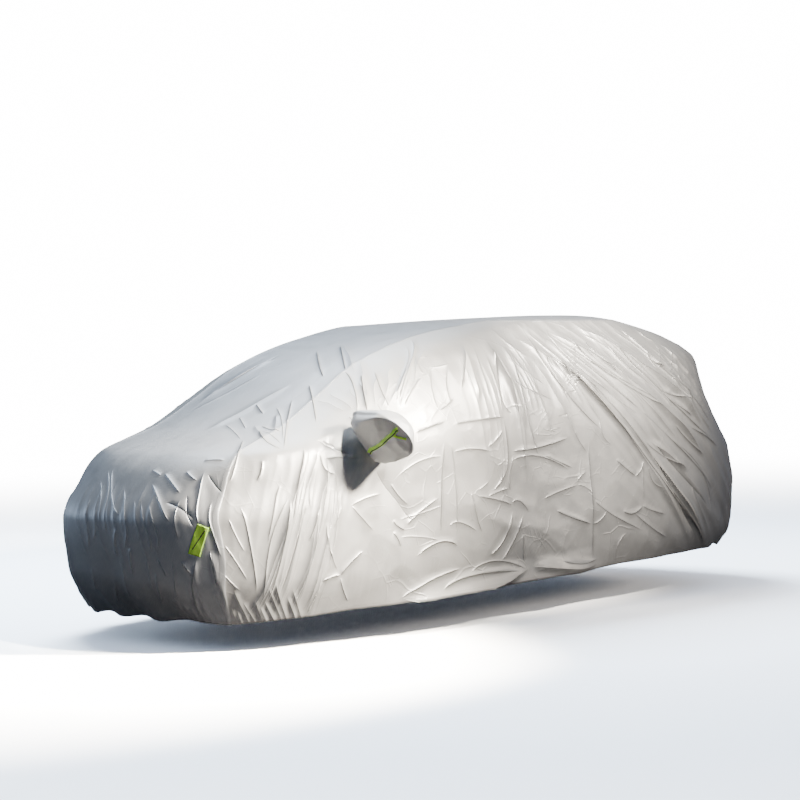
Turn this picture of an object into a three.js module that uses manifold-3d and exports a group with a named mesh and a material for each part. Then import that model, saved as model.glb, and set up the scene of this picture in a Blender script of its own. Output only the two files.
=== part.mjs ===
// A fitted cover for a medium hatchback car, as it hangs over the car: a centre panel from
// the front hem over the bonnet, windscreen and roof to the rear hem, a panel down each
// side, a pouch for each door mirror, and strips of reflective tape.
// Millimetres. +X points to the car's nose, +Y to its left, +Z up. The origin is on the
// underside of the roof cloth, where the car carries the cover. The tables give heights
// above the ground, and the whole cover is lowered by ROOF_UNDERSIDE at the end.

import * as THREE from 'three';
import { mergeVertices } from 'three/addons/utils/BufferGeometryUtils.js';
import Module from 'manifold-3d';

const wasm = await Module();
wasm.setup();

// ---- Driving dimensions ---------------------------------------------------------------

const CLOTH = 2;                  // the coated cloth and its hem, as one thickness
const ROOF_TOP = 1562;
const ROOF_UNDERSIDE = ROOF_TOP - CLOTH;
const SEAM_GAP = 0.8;             // each panel stops this far short of the seam line

// Level sections of the covered car, from the roof down. A section is a rounded
// rectangle: half as wide as halfWidth, and reaching from rear to front.
const SECTIONS = [
  { height: ROOF_TOP, halfWidth: 0, front: -60, rear: -110 },
  { height: 1558, halfWidth: 220, front: 95, rear: -270 },
  { height: 1523, halfWidth: 610, front: 815, rear: -320 },
  { height: 1420, halfWidth: 705, front: 1360, rear: -770 },
  { height: 1300, halfWidth: 775, front: 1690, rear: -1000 },
  { height: 1160, halfWidth: 835, front: 1925, rear: -1020 },
  { height: 1020, halfWidth: 868, front: 2185, rear: -1085 },
  { height: 900, halfWidth: 879, front: 2540, rear: -1180 },
  { height: 780, halfWidth: 880, front: 2690, rear: -1270 },
  { height: 600, halfWidth: 888, front: 2810, rear: -1305 },
  { height: 350, halfWidth: 896, front: 2785, rear: -1255 },
  { height: 150, halfWidth: 866, front: 2665, rear: -1025 },
  { height: 60, halfWidth: 840, front: 2600, rear: -960 },
];
// How square the corners of a section are: 2 would be an ellipse, more is boxier.
const CORNER = { rear: 4.2, frontLow: 3.4, frontHigh: 4.2, lowBelow: 700, highAbove: 1100 };

// The hem is lowest at the nose and rises towards the tail.
const HEM = { middleX: 850, reach: 2000, height: 203, slope: -55.5, bow: -27.5 };

// The seam between centre and side panels: how far from the car's middle it runs, at the
// front and at the rear. Along the roof it follows the roof's edge.
const FRONT_SEAM = [
  { height: 60, y: 530 }, { height: 440, y: 613 }, { height: 820, y: 560 },
  { height: 1060, y: 480 }, { height: 1300, y: 456 }, { height: 1440, y: 460 },
  { height: 1515, y: 545 },
];
const REAR_SEAM = [
  { height: 60, y: 640 }, { height: 1300, y: 640 }, { height: 1515, y: 570 },
];
// Where the side panels have a row of points, from the hem to the roof's edge.
const ROW_HEIGHTS = [
  150, 265, 390, 520, 650, 760, 845, 910, 975, 1050, 1140, 1230, 1320, 1400, 1465, 1515,
];
const SIDE_COLUMNS = 56;
const ROOF_STEP = 2;              // the centre panel uses every second one along the roof
const CENTRE_COLUMNS = 14;
const FAN_CENTRE = { x: 750, height: 600 };

// Folds. Each runs from one point to another, bowed sideways by bow in its middle, and
// stands rise proud of the cloth over half a width on each side; below zero it is a
// trough. On the sides a is x and b the height; on the nose and tail a is y and b the
// height; on the top a is x and b is y.
const SIDE_FOLDS = [
  // the long folds from the roof's edge down to the rear corner of the hem
  { a: 560, b: 1370, toA: -660, toB: 265, bow: -35, rise: 38, width: 62 },
  { a: 430, b: 1300, toA: -560, toB: 290, bow: -45, rise: -29, width: 60 },
  { a: 480, b: 1480, toA: -740, toB: 670, bow: -60, rise: 22, width: 70 },
  { a: 200, b: 1480, toA: -700, toB: 900, bow: -50, rise: 19, width: 65 },
  { a: 770, b: 1465, toA: -500, toB: 275, bow: -90, rise: 19, width: 75 },
  { a: -130, b: 860, toA: -500, toB: 675, bow: 0, rise: 17, width: 50 },
  // short folds hanging from the roof's edge over the doors
  { a: 930, b: 1440, toA: 830, toB: 960, bow: 20, rise: 17, width: 60 },
  { a: 1105, b: 1410, toA: 1150, toB: 1110, bow: 0, rise: 17, width: 50 },
  // from the windscreen's edge to the mirror pouch
  { a: 1440, b: 1310, toA: 1640, toB: 1110, bow: 10, rise: 20, width: 45 },
  { a: 1710, b: 1235, toA: 1790, toB: 1105, bow: 0, rise: 17, width: 40 },
  // the fan from the front of the pouch down to the gathered front corner
  { a: 2125, b: 950, toA: 2395, toB: 165, bow: 40, rise: 25, width: 52 },
  { a: 2110, b: 930, toA: 2330, toB: 165, bow: -25, rise: 29, width: 55 },
  { a: 2080, b: 900, toA: 2260, toB: 175, bow: -60, rise: 20, width: 50 },
  { a: 2160, b: 950, toA: 2465, toB: 150, bow: 40, rise: 17, width: 50 },
  // the hollow under the pouch and the ones beside it
  { a: 1870, b: 820, toA: 1650, toB: 550, bow: 0, rise: -32, width: 75 },
  { a: 2100, b: 965, toA: 1990, toB: 885, bow: 0, rise: -17, width: 60 },
  // storage creases and the rolled cloth above the hem between the wheels
  { a: 1395, b: 980, toA: 1410, toB: 525, bow: 0, rise: 13, width: 50 },
  { a: 345, b: 830, toA: 355, toB: 260, bow: 0, rise: 12, width: 50 },
  { a: 1610, b: 530, toA: 940, toB: 665, bow: -20, rise: 13, width: 55 },
  { a: 1750, b: 200, toA: 860, toB: 265, bow: 60, rise: 23, width: 50 },
  { a: 850, b: 270, toA: 330, toB: 240, bow: 15, rise: 17, width: 45 },
];
const NOSE_FOLDS = [
  { a: -470, b: 780, toA: -380, toB: 330, bow: 0, rise: 13, width: 60 },
  { a: -337, b: 790, toA: -180, toB: 400, bow: 0, rise: 17, width: 62 },
  { a: -180, b: 800, toA: 0, toB: 370, bow: 0, rise: 17, width: 62 },
  { a: -30, b: 770, toA: 150, toB: 330, bow: 0, rise: 20, width: 65 },
  { a: 150, b: 760, toA: 300, toB: 380, bow: 0, rise: 16, width: 62 },
  { a: 290, b: 800, toA: 400, toB: 440, bow: 0, rise: -20, width: 70 },
  { a: 410, b: 850, toA: 540, toB: 600, bow: 0, rise: 26, width: 70 },
];
const TOP_FOLDS = [
  { a: 2215, b: 0, toA: 1820, toB: 200, bow: 0, rise: 12, width: 80 },
  { a: 1960, b: -370, toA: 1560, toB: -215, bow: 0, rise: 12, width: 80 },
];
const TAIL_FOLDS = [
  { a: -420, b: 1150, toA: -300, toB: 420, bow: 0, rise: 16, width: 75 },
  { a: -60, b: 1200, toA: -20, toB: 380, bow: 0, rise: 17, width: 80 },
  { a: 330, b: 1150, toA: 260, toB: 420, bow: 0, rise: 16, width: 75 },
];
const FOLD_STEPS = 7;
const FOLD_END = 0.22;            // share of a fold over which it fades at each end
// The right side hangs in the same folds, a little shifted, lower and higher.
const RIGHT_SHIFT = 55;
const RIGHT_CHANGE = 0.3;
// The elastic in the hem gathers both ends of the cover into waves.
const GATHER = {
  pitch: 285, depth: 13, fade: 150,            // the waves, and how far up they reach
  frontBeyond: 2150, frontBlend: 200,          // where they start, and over what length
  rearBeyond: -850, rearBlend: 150,
  lengthShare: 0.6,                            // how far a step in x counts along a wave
};

// The mirror pouches: the hole in the side panel, and each pouch's sections from the hole
// outwards. Each section reaches x and z to both sides of a middle that lies ahead of the
// hole's middle and lift above it. The left pouch holds a door mirror. The right one is
// slack and droops close to the side, over a folded mirror.
const POUCH = { x: 1850, height: 945, hole: { x: 59.5, z: 65.5 }, sides: 20, corner: 2.4 };
const POUCH_TENT = { rise: 16, reach: 170 };   // the cloth round it is drawn outwards
const FULL_POUCH = [
  { out: -22, x: 58, z: 64, ahead: 0, lift: 0 },
  { out: 12, x: 58, z: 64, ahead: 0, lift: 0 },
  { out: 45, x: 94, z: 107, ahead: 30, lift: 14 },
  { out: 95, x: 116, z: 126, ahead: 60, lift: 31 },
  { out: 155, x: 119, z: 125, ahead: 73, lift: 29 },
  { out: 216, x: 107, z: 107, ahead: 76, lift: 22 },
  { out: 258, x: 80, z: 76, ahead: 76, lift: 14 },
  { out: 282, x: 41, z: 38, ahead: 74, lift: 9 },
  { out: 293, x: 0, z: 0, ahead: 72, lift: 6 },
];
const SLACK_POUCH = [
  { out: -22, x: 58, z: 64, ahead: 0, lift: 0 },
  { out: 12, x: 58, z: 64, ahead: 0, lift: 0 },
  { out: 38, x: 88, z: 84, ahead: 5, lift: -16 },
  { out: 66, x: 98, z: 92, ahead: 8, lift: -28 },
  { out: 92, x: 92, z: 84, ahead: 9, lift: -36 },
  { out: 110, x: 66, z: 60, ahead: 9, lift: -40 },
  { out: 120, x: 34, z: 31, ahead: 9, lift: -42 },
  { out: 125, x: 0, z: 0, ahead: 9, lift: -43 },
];
const POUCH_STRAIGHTENS = 150;    // past this it no longer follows the side's curve

// Reflective tape: on each pouch from its lower front edge over its end, and a slanted
// patch at each front corner.
const TAPE = { lift: 2.6, thickness: 1.2, steps: 10 };
const FULL_TAPE = { width: 30, from: { out: 78, turn: -58 }, to: { out: 262, turn: 5 } };
const SLACK_TAPE = { width: 30, from: { out: 46, turn: -58 }, to: { out: 112, turn: 5 } };
const CORNER_PATCH = {
  width: 58, from: { y: 556, height: 597 }, to: { y: 516, height: 463 }, clear: 5,
};

// ---- Small helpers --------------------------------------------------------------------

const clamp01 = (t) => Math.min(1, Math.max(0, t));
const mix = (a, b, t) => a + (b - a) * t;

function smooth(low, high, value) {
  const t = clamp01((value - low) / (high - low));
  return t * t * (3 - 2 * t);
}

// A curve through every point that never overshoots them (Fritsch and Carlson's slopes).
function monotoneCurve(xs, ys) {
  const last = xs.length - 1;
  const width = [];
  const rise = [];
  for (let i = 0; i < last; i++) {
    width.push(xs[i + 1] - xs[i]);
    rise.push((ys[i + 1] - ys[i]) / width[i]);
  }
  const slope = [rise[0]];
  for (let i = 1; i < last; i++) {
    const turns = rise[i - 1] * rise[i] <= 0;
    const before = 2 * width[i] + width[i - 1];
    const after = width[i] + 2 * width[i - 1];
    slope.push(turns ? 0 : (before + after) / (before / rise[i - 1] + after / rise[i]));
  }
  slope.push(rise[last - 1]);
  return (x) => {
    let k = 0;
    while (k < last - 1 && x > xs[k + 1]) k++;
    const t = (x - xs[k]) / width[k];
    const s = 1 - t;
    return ys[k] * (1 + 2 * t) * s * s + slope[k] * width[k] * t * s * s
      + ys[k + 1] * t * t * (3 - 2 * t) - slope[k + 1] * width[k] * t * t * s;
  };
}

const curveOf = (rows, from, to) => monotoneCurve(rows.map((r) => r[from]), rows.map((r) => r[to]));

// ---- The covered car's form -----------------------------------------------------------

// The sections are joined along the girth, the way down the side from the roof's middle.
const SAMPLES = 900;
const sections = sampleSections();

function sampleSections() {
  const girth = [0];
  for (let i = 1; i < SECTIONS.length; i++) {
    const wide = SECTIONS[i].halfWidth - SECTIONS[i - 1].halfWidth;
    const down = SECTIONS[i].height - SECTIONS[i - 1].height;
    girth.push(girth[i - 1] + Math.hypot(wide, down));
  }
  const rows = SECTIONS.map((row, i) => ({ ...row, girth: girth[i] }));
  const names = ['height', 'halfWidth', 'front', 'rear'];
  const curves = names.map((name) => curveOf(rows, 'girth', name));
  return Array.from({ length: SAMPLES + 1 }, (_, i) => {
    const at = (girth[girth.length - 1] * i) / SAMPLES;
    return Object.fromEntries(names.map((name, k) => [name, curves[k](at)]));
  });
}

function sectionAt(height) {
  let low = 0;
  let high = SAMPLES;
  while (high - low > 1) {
    const middle = (low + high) >> 1;
    if (sections[middle].height > height) low = middle;
    else high = middle;
  }
  const a = sections[low];
  const b = sections[high];
  const t = clamp01((a.height - height) / Math.max(a.height - b.height, 1e-9));
  const front = mix(a.front, b.front, t);
  const rear = mix(a.rear, b.rear, t);
  const upper = smooth(CORNER.lowBelow, CORNER.highAbove, height);
  return {
    halfWidth: Math.max(mix(a.halfWidth, b.halfWidth, t), 1e-3),
    middle: (front + rear) / 2,
    halfLength: Math.max((front - rear) / 2, 1e-3),
    frontCorner: mix(CORNER.frontLow, CORNER.frontHigh, upper),
  };
}

// Below zero inside the covered car, above zero outside.
function outsideness(x, y, height) {
  if (height >= ROOF_TOP) return 1;
  const s = sectionAt(height);
  const corner = x > s.middle ? s.frontCorner : CORNER.rear;
  const along = Math.abs((x - s.middle) / s.halfLength) ** corner;
  return along + Math.abs(y / s.halfWidth) ** corner - 1;
}

// The form's outward normal, from how fast outsideness grows in each direction.
const PROBE = 2;

function normalAt({ x, y, z }) {
  const low = Math.min(z, ROOF_TOP - 3 * PROBE);
  const grows = (dx, dy, dz) => outsideness(x + dx, y + dy, low + dz)
    - outsideness(x - dx, y - dy, low - dz);
  return new THREE.Vector3(
    grows(PROBE, 0, 0), grows(0, PROBE, 0), grows(0, 0, PROBE)).normalize();
}

// A point of the section at this height; turn is 0 at the nose and PI at the tail.
function sectionPoint(height, turn) {
  const s = sectionAt(height);
  const c = Math.cos(turn);
  const power = 2 / (c > 0 ? s.frontCorner : CORNER.rear);
  const x = s.middle + s.halfLength * Math.sign(c) * Math.abs(c) ** power;
  return new THREE.Vector3(x, s.halfWidth * Math.sin(turn) ** power, height);
}

// The turn at which a section is y from the car's middle, at its front or its rear.
function turnAt(height, y, end) {
  const s = sectionAt(height);
  const corner = end > 0 ? s.frontCorner : CORNER.rear;
  const turn = Math.asin(clamp01(y / s.halfWidth) ** (corner / 2));
  return end > 0 ? turn : Math.PI - turn;
}

// The form's surface where a line from inside, in the upright lengthwise plane at y,
// leaves the covered car.
const FAR = 4200;
const HOLE_DEPTH = 400;              // longer than any cloth it cuts is thick
const HALVINGS = 26;

function surfaceAlong(from, direction, y) {
  let inside = 0;
  let outside = FAR;
  for (let i = 0; i < HALVINGS; i++) {
    const at = (inside + outside) / 2;
    const x = from.x + direction.x * at;
    const height = from.height + direction.height * at;
    if (outsideness(x, y, height) < 0) inside = at;
    else outside = at;
  }
  return new THREE.Vector3(
    from.x + direction.x * inside, y, from.height + direction.height * inside);
}

const sidePoint = (x, height) => {
  const s = sectionAt(height);
  const corner = x > s.middle ? s.frontCorner : CORNER.rear;
  const along = clamp01(Math.abs((x - s.middle) / s.halfLength)) ** corner;
  return new THREE.Vector3(x, s.halfWidth * (1 - along) ** (1 / corner), height);
};
const endPoint = (y, height, end) =>
  surfaceAlong({ x: FAN_CENTRE.x, height }, { x: end, height: 0 }, y);
const topPoint = (x, y) =>
  surfaceAlong({ x, height: FAN_CENTRE.height }, { x: 0, height: 1 }, y);

function hemHeight(x) {
  const t = (x - HEM.middleX) / HEM.reach;
  return HEM.height + HEM.slope * t + HEM.bow * t * t;
}

// ---- Folds ----------------------------------------------------------------------------

// The points of a fold's crest on the form, and its rise and width.
function crest(row, place) {
  const length = Math.hypot(row.toA - row.a, row.toB - row.b);
  const across = { a: -(row.toB - row.b) / length, b: (row.toA - row.a) / length };
  const points = [];
  for (let i = 0; i <= FOLD_STEPS; i++) {
    const t = i / FOLD_STEPS;
    const bow = row.bow * 4 * t * (1 - t);
    const a = mix(row.a, row.toA, t) + across.a * bow;
    const b = mix(row.b, row.toB, t) + across.b * bow;
    points.push(place(a, b));
  }
  return { points, rise: row.rise, width: row.width };
}

const mirrored = (p) => new THREE.Vector3(p.x, -p.y, p.z);

const folds = [
  ...SIDE_FOLDS.map((row) => crest(row, sidePoint)),
  ...SIDE_FOLDS.map((row, i) => {
    const shift = RIGHT_SHIFT * Math.sin(2.4 * i);
    const moved = { ...row, a: row.a + shift, toA: row.toA + shift / 2 };
    moved.rise = row.rise * (1 + RIGHT_CHANGE * Math.cos(1.7 * i));
    return crest(moved, (x, height) => mirrored(sidePoint(x, height)));
  }),
  ...NOSE_FOLDS.map((row) => crest(row, (y, height) => endPoint(y, height, 1))),
  ...TAIL_FOLDS.map((row) => crest(row, (y, height) => endPoint(y, height, -1))),
  ...TOP_FOLDS.map((row) => crest(row, topPoint)),
];

const segment = new THREE.Line3();
const nearest = new THREE.Vector3();

function foldRise(fold, point) {
  let best = Infinity;
  let along = 0;
  for (let i = 0; i < FOLD_STEPS; i++) {
    segment.set(fold.points[i], fold.points[i + 1]);
    const t = segment.closestPointToPointParameter(point, true);
    const distance = segment.at(t, nearest).distanceTo(point);
    if (distance < best) {
      best = distance;
      along = (i + t) / FOLD_STEPS;
    }
  }
  const fade = smooth(0, FOLD_END, along) * smooth(0, FOLD_END, 1 - along);
  return fold.rise * fade * Math.exp(-((best / fold.width) ** 2));
}

// How far the cloth stands off the form at a point: its folds, the waves of the gathered
// hem and the tent round each mirror pouch.
function relief(point) {
  let off = 0;
  for (const fold of folds) off += foldRise(fold, point);
  const { frontBeyond, frontBlend, rearBeyond, rearBlend } = GATHER;
  const gathered = smooth(frontBeyond - frontBlend, frontBeyond + frontBlend, point.x)
    + smooth(-rearBeyond - rearBlend, -rearBeyond + rearBlend, -point.x);
  const low = Math.exp(-Math.max(0, point.z - hemHeight(point.x)) / GATHER.fade);
  const around = point.y + GATHER.lengthShare * point.x;
  off += GATHER.depth * gathered * low * Math.sin((2 * Math.PI * around) / GATHER.pitch);
  const pouch = sidePoint(POUCH.x, POUCH.height);
  const away = Math.hypot(point.x - pouch.x, Math.abs(point.y) - pouch.y, point.z - pouch.z);
  return off + POUCH_TENT.rise * Math.exp(-((away / POUCH_TENT.reach) ** 2));
}

// ---- Cloth from a grid of points ------------------------------------------------------

// The outer and inner grids of a panel, moved out from the form along its normals.
function hung(grid, edges) {
  const move = (inwards) => grid.map((row) => row.map((p) =>
    p.clone().addScaledVector(normalAt(p), relief(p) - inwards)));
  return sheet(drawBack(move(0), edges), drawBack(move(CLOTH), edges));
}

function geometryFrom(points, faces) {
  const geometry = new THREE.BufferGeometry();
  const flat = points.flatMap((p) => [p.x, p.y, p.z]);
  geometry.setAttribute('position', new THREE.Float32BufferAttribute(flat, 3));
  const corner = faces.map((f) => f.map((k) => points[k]));
  const volume = corner.reduce((sum, [a, b, c]) => sum + a.dot(b.clone().cross(c)), 0);
  geometry.setIndex((volume > 0 ? faces : faces.map(([a, b, c]) => [a, c, b])).flat());
  return geometry;
}

const quad = (a, b, c, d) => [[a, b, c], [a, c, d]];

// A closed sheet of cloth between an outer and an inner grid of points.
function sheet(outer, inner) {
  const rows = outer.length;
  const columns = outer[0].length;
  const points = [...outer.flat(), ...inner.flat()];
  const at = (layer, i, j) => layer * rows * columns + i * columns + j;
  const faces = [];
  for (let i = 0; i < rows - 1; i++) {
    for (let j = 0; j < columns - 1; j++) {
      faces.push(...quad(at(0, i, j), at(0, i, j + 1), at(0, i + 1, j + 1), at(0, i + 1, j)));
      faces.push(...quad(at(1, i, j), at(1, i + 1, j), at(1, i + 1, j + 1), at(1, i, j + 1)));
    }
    for (const [j, turn] of [[0, true], [columns - 1, false]]) {
      const edge = [at(0, i, j), at(0, i + 1, j), at(1, i + 1, j), at(1, i, j)];
      faces.push(...quad(...(turn ? edge : edge.reverse())));
    }
  }
  for (let j = 0; j < columns - 1; j++) {
    for (const [i, turn] of [[0, false], [rows - 1, true]]) {
      const edge = [at(0, i, j), at(0, i, j + 1), at(1, i, j + 1), at(1, i, j)];
      faces.push(...quad(...(turn ? edge : edge.reverse())));
    }
  }
  return geometryFrom(points, faces);
}

// Draws the edge points of a grid back from the seam line.
function drawBack(grid, edges) {
  const last = grid.length - 1;
  const end = grid[0].length - 1;
  const toward = (p, q) => p.addScaledVector(q.clone().sub(p).normalize(), SEAM_GAP);
  if (edges.includes('top')) grid[last].forEach((p, j) => toward(p, grid[last - 1][j]));
  if (edges.includes('sides')) {
    for (const row of grid) {
      toward(row[0], row[1]);
      toward(row[end], row[end - 1]);
    }
  }
  return grid;
}

// ---- Side panels ----------------------------------------------------------------------

const frontSeam = curveOf(FRONT_SEAM, 'height', 'y');
const rearSeam = curveOf(REAR_SEAM, 'height', 'y');

// The points of a level row from the front seam to the rear seam, evenly spaced.
const FINE_TURNS = 240;

function evenRow(height) {
  const first = turnAt(height, frontSeam(height), 1);
  const last = turnAt(height, rearSeam(height), -1);
  const fine = Array.from({ length: FINE_TURNS + 1 }, (_, i) => {
    const turn = mix(first, last, i / FINE_TURNS);
    return { turn, point: sectionPoint(height, turn) };
  });
  const run = [0];
  for (let i = 1; i < fine.length; i++) {
    run.push(run[i - 1] + fine[i].point.distanceTo(fine[i - 1].point));
  }
  const turns = [];
  let k = 0;
  for (let j = 0; j <= SIDE_COLUMNS; j++) {
    const wanted = (run[FINE_TURNS] * j) / SIDE_COLUMNS;
    while (k < FINE_TURNS - 1 && run[k + 1] < wanted) k++;
    const t = (wanted - run[k]) / (run[k + 1] - run[k]);
    turns.push(mix(fine[k].turn, fine[k + 1].turn, t));
  }
  return turns;
}

// Rows near the hem follow it; the others are level.
function sideGrid() {
  const lowest = ROW_HEIGHTS[0];
  const highest = ROW_HEIGHTS[ROW_HEIGHTS.length - 1];
  return ROW_HEIGHTS.map((level) => evenRow(level).map((turn) => {
    const share = ((highest - level) / (highest - lowest)) ** 2;
    const height = level + (hemHeight(sectionPoint(level, turn).x) - lowest) * share;
    return sectionPoint(height, turn);
  }));
}

const form = sideGrid();

function sidePanel(side) {
  const grid = side > 0 ? form : form.map((row) => row.map(mirrored));
  return hung(grid, ['top', 'sides']);
}

// ---- Centre panel ---------------------------------------------------------------------

// Its edge follows the side panel's edge: up the front seam, along the roof, down the rear.
function seamPoints() {
  const top = form.length - 1;
  const front = form.map((row) => row[0]);
  const roof = form[top].filter((_, j) => j > 0 && j < SIDE_COLUMNS && j % ROOF_STEP === 0);
  const rear = form.map((row) => row[SIDE_COLUMNS]).reverse();
  return [...front, ...roof, ...rear];
}

function centreGrid() {
  return seamPoints().map((seam) => {
    const from = { x: FAN_CENTRE.x, height: Math.min(FAN_CENTRE.height, seam.z) };
    const reach = Math.hypot(seam.x - from.x, seam.z - from.height);
    const direction = { x: (seam.x - from.x) / reach, height: (seam.z - from.height) / reach };
    return Array.from({ length: CENTRE_COLUMNS + 1 }, (_, j) => {
      const y = seam.y * (1 - (2 * j) / CENTRE_COLUMNS);
      const edge = j === 0 || j === CENTRE_COLUMNS;
      return edge ? new THREE.Vector3(seam.x, y, seam.z) : surfaceAlong(from, direction, y);
    });
  });
}

// ---- Mirror pouches -------------------------------------------------------------------

const pouchBase = sidePoint(POUCH.x, POUCH.height).y + POUCH_TENT.rise;

function pouchForm(sections) {
  return {
    rings: sections.slice(0, -1),
    tip: sections[sections.length - 1],
    halfX: curveOf(sections, 'out', 'x'),
    halfZ: curveOf(sections, 'out', 'z'),
    ahead: curveOf(sections, 'out', 'ahead'),
    lift: curveOf(sections, 'out', 'lift'),
  };
}

const pouches = new Map([[1, pouchForm(FULL_POUCH)], [-1, pouchForm(SLACK_POUCH)]]);

// A point of a pouch, as it lies on the left side; turn is 0 towards the nose and a
// quarter turn upwards.
function pouchPoint(form, out, turn, grow = 0) {
  const power = 2 / POUCH.corner;
  const c = Math.cos(turn);
  const s = Math.sin(turn);
  const x = POUCH.x + form.ahead(out)
    + (form.halfX(out) + grow) * Math.sign(c) * Math.abs(c) ** power;
  const height = POUCH.height + form.lift(out)
    + (form.halfZ(out) + grow) * Math.sign(s) * Math.abs(s) ** power;
  const side = sidePoint(x, height);
  const followed = side.y + POUCH_TENT.rise;
  const y = mix(followed, pouchBase, smooth(0, POUCH_STRAIGHTENS, out)) + out;
  return new THREE.Vector3(x, y, height);
}

function pouchGeometry(side) {
  const form = pouches.get(side);
  const count = POUCH.sides;
  const points = [];
  const walls = [0, -CLOTH];
  for (const grow of walls) {
    for (const ring of form.rings) {
      for (let k = 0; k < count; k++) {
        points.push(pouchPoint(form, ring.out, (2 * Math.PI * k) / count, grow));
      }
    }
    points.push(pouchPoint(form, form.tip.out + grow, 0));
  }
  const perWall = form.rings.length * count + 1;
  const at = (wall, ring, k) => wall * perWall + ring * count + (k % count);
  const faces = [];
  const last = form.rings.length - 1;
  for (let k = 0; k < count; k++) {
    for (let ring = 0; ring < last; ring++) {
      const [a, b] = [at(0, ring, k), at(0, ring, k + 1)];
      faces.push(...quad(a, b, at(0, ring + 1, k + 1), at(0, ring + 1, k)));
      const [c, d] = [at(1, ring, k), at(1, ring, k + 1)];
      faces.push(...quad(c, at(1, ring + 1, k), at(1, ring + 1, k + 1), d));
    }
    faces.push([at(0, last, k), at(0, last, k + 1), perWall - 1]);
    faces.push([at(1, last, k + 1), at(1, last, k), 2 * perWall - 1]);
    faces.push(...quad(at(0, 0, k + 1), at(0, 0, k), at(1, 0, k), at(1, 0, k + 1)));
  }
  return geometryFrom(side > 0 ? points : points.map(mirrored), faces);
}

// ---- Reflective tape ------------------------------------------------------------------

// A flat strip along a path of points, standing lift off them along their normals.
function tape(path, normals, width) {
  const layer = (off) => path.map((p, i) => {
    const ahead = path[Math.min(i + 1, path.length - 1)];
    const run = ahead.clone().sub(path[Math.max(i - 1, 0)]);
    const across = run.cross(normals[i]).normalize().multiplyScalar(width / 2);
    const middle = p.clone().addScaledVector(normals[i], off);
    return [middle.clone().add(across), middle.clone().sub(across)];
  });
  return sheet(layer(TAPE.lift + TAPE.thickness), layer(TAPE.lift));
}

function pouchTape(side) {
  const form = pouches.get(side);
  const { width, from, to } = side > 0 ? FULL_TAPE : SLACK_TAPE;
  const path = [];
  const normals = [];
  const radians = THREE.MathUtils.degToRad;
  for (let i = 0; i <= TAPE.steps; i++) {
    const t = i / TAPE.steps;
    const out = mix(from.out, to.out, t);
    const turn = radians(mix(from.turn, to.turn, t));
    const p = pouchPoint(form, out, turn);
    const further = pouchPoint(form, out + 1, turn).sub(p);
    const round = pouchPoint(form, out, turn + 0.01).sub(p);
    path.push(p);
    normals.push(further.cross(round).normalize());
  }
  const outward = normals[0].x > 0 ? normals : normals.map((n) => n.negate());
  const turned = (list) => (side > 0 ? list : list.map(mirrored));
  return tape(turned(path), turned(outward), width);
}

function cornerPatch(side) {
  const { from, to, width, clear } = CORNER_PATCH;
  const path = [];
  const normals = [];
  for (let i = 0; i <= TAPE.steps; i++) {
    const t = i / TAPE.steps;
    const y = side * mix(from.y, to.y, t);
    const height = mix(from.height, to.height, t);
    const p = endPoint(y, height, 1);
    const up = endPoint(y, height + 1, 1).sub(p);
    const left = endPoint(y + 1, height, 1).sub(p);
    const normal = left.cross(up).normalize();
    path.push(p.addScaledVector(normal, relief(p) + clear));
    normals.push(normal);
  }
  return tape(path, normals, width);
}

// ---- Cutting --------------------------------------------------------------------------

function toSolid(geometry) {
  const vertProperties = new Float32Array(geometry.attributes.position.array);
  const triVerts = new Uint32Array(geometry.index.array);
  return new wasm.Manifold(new wasm.Mesh({ numProp: 3, vertProperties, triVerts }));
}

function toGeometry(solid) {
  const mesh = solid.getMesh();
  const geometry = new THREE.BufferGeometry();
  geometry.setAttribute('position', new THREE.BufferAttribute(mesh.vertProperties, 3));
  geometry.setIndex(new THREE.BufferAttribute(mesh.triVerts, 1));
  return geometry;
}

// The prism that cuts a pouch's hole: as many sides as the pouch has, and a little wider.
function holePrism(side) {
  const power = 2 / POUCH.corner;
  const outline = Array.from({ length: POUCH.sides }, (_, k) => {
    const c = Math.cos((2 * Math.PI * k) / POUCH.sides);
    const s = Math.sin((2 * Math.PI * k) / POUCH.sides);
    const x = POUCH.hole.x * Math.sign(c) * Math.abs(c) ** power;
    return new THREE.Vector2(x, POUCH.hole.z * Math.sign(s) * Math.abs(s) ** power);
  });
  const depth = HOLE_DEPTH;
  const prism = new THREE.ExtrudeGeometry(new THREE.Shape(outline), { depth, bevelEnabled: false });
  prism.rotateX(Math.PI / 2);
  prism.translate(POUCH.x, side * pouchBase + depth / 2, POUCH.height);
  prism.deleteAttribute('normal');
  prism.deleteAttribute('uv');
  return toSolid(mergeVertices(prism));
}

// ---- The cover ------------------------------------------------------------------------

const silver = { color: 0xb9b7b3, roughness: 0.5, metalness: 0.35 };
const slate = { color: 0x6d7480, roughness: 0.5, metalness: 0.35 };
const green = { color: 0xb4e83c, roughness: 0.45, metalness: 0 };

const cover = new THREE.Group();

function add(name, geometry, finish) {
  const mesh = new THREE.Mesh(geometry, new THREE.MeshStandardMaterial(finish));
  mesh.name = name;
  mesh.position.z = -ROOF_UNDERSIDE;
  cover.add(mesh);
}

add('centre_panel', hung(centreGrid(), ['sides']), silver);
for (const [word, side] of [['left', 1], ['right', -1]]) {
  const panel = toSolid(sidePanel(side)).subtract(holePrism(side));
  add(`${word}_side_panel`, toGeometry(panel), silver);
  add(`mirror_pocket_${word}`, pouchGeometry(side), slate);
  add(`pocket_tape_${word}`, pouchTape(side), green);
  add(`corner_patch_${word}`, cornerPatch(side), green);
}

export default cover;
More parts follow.
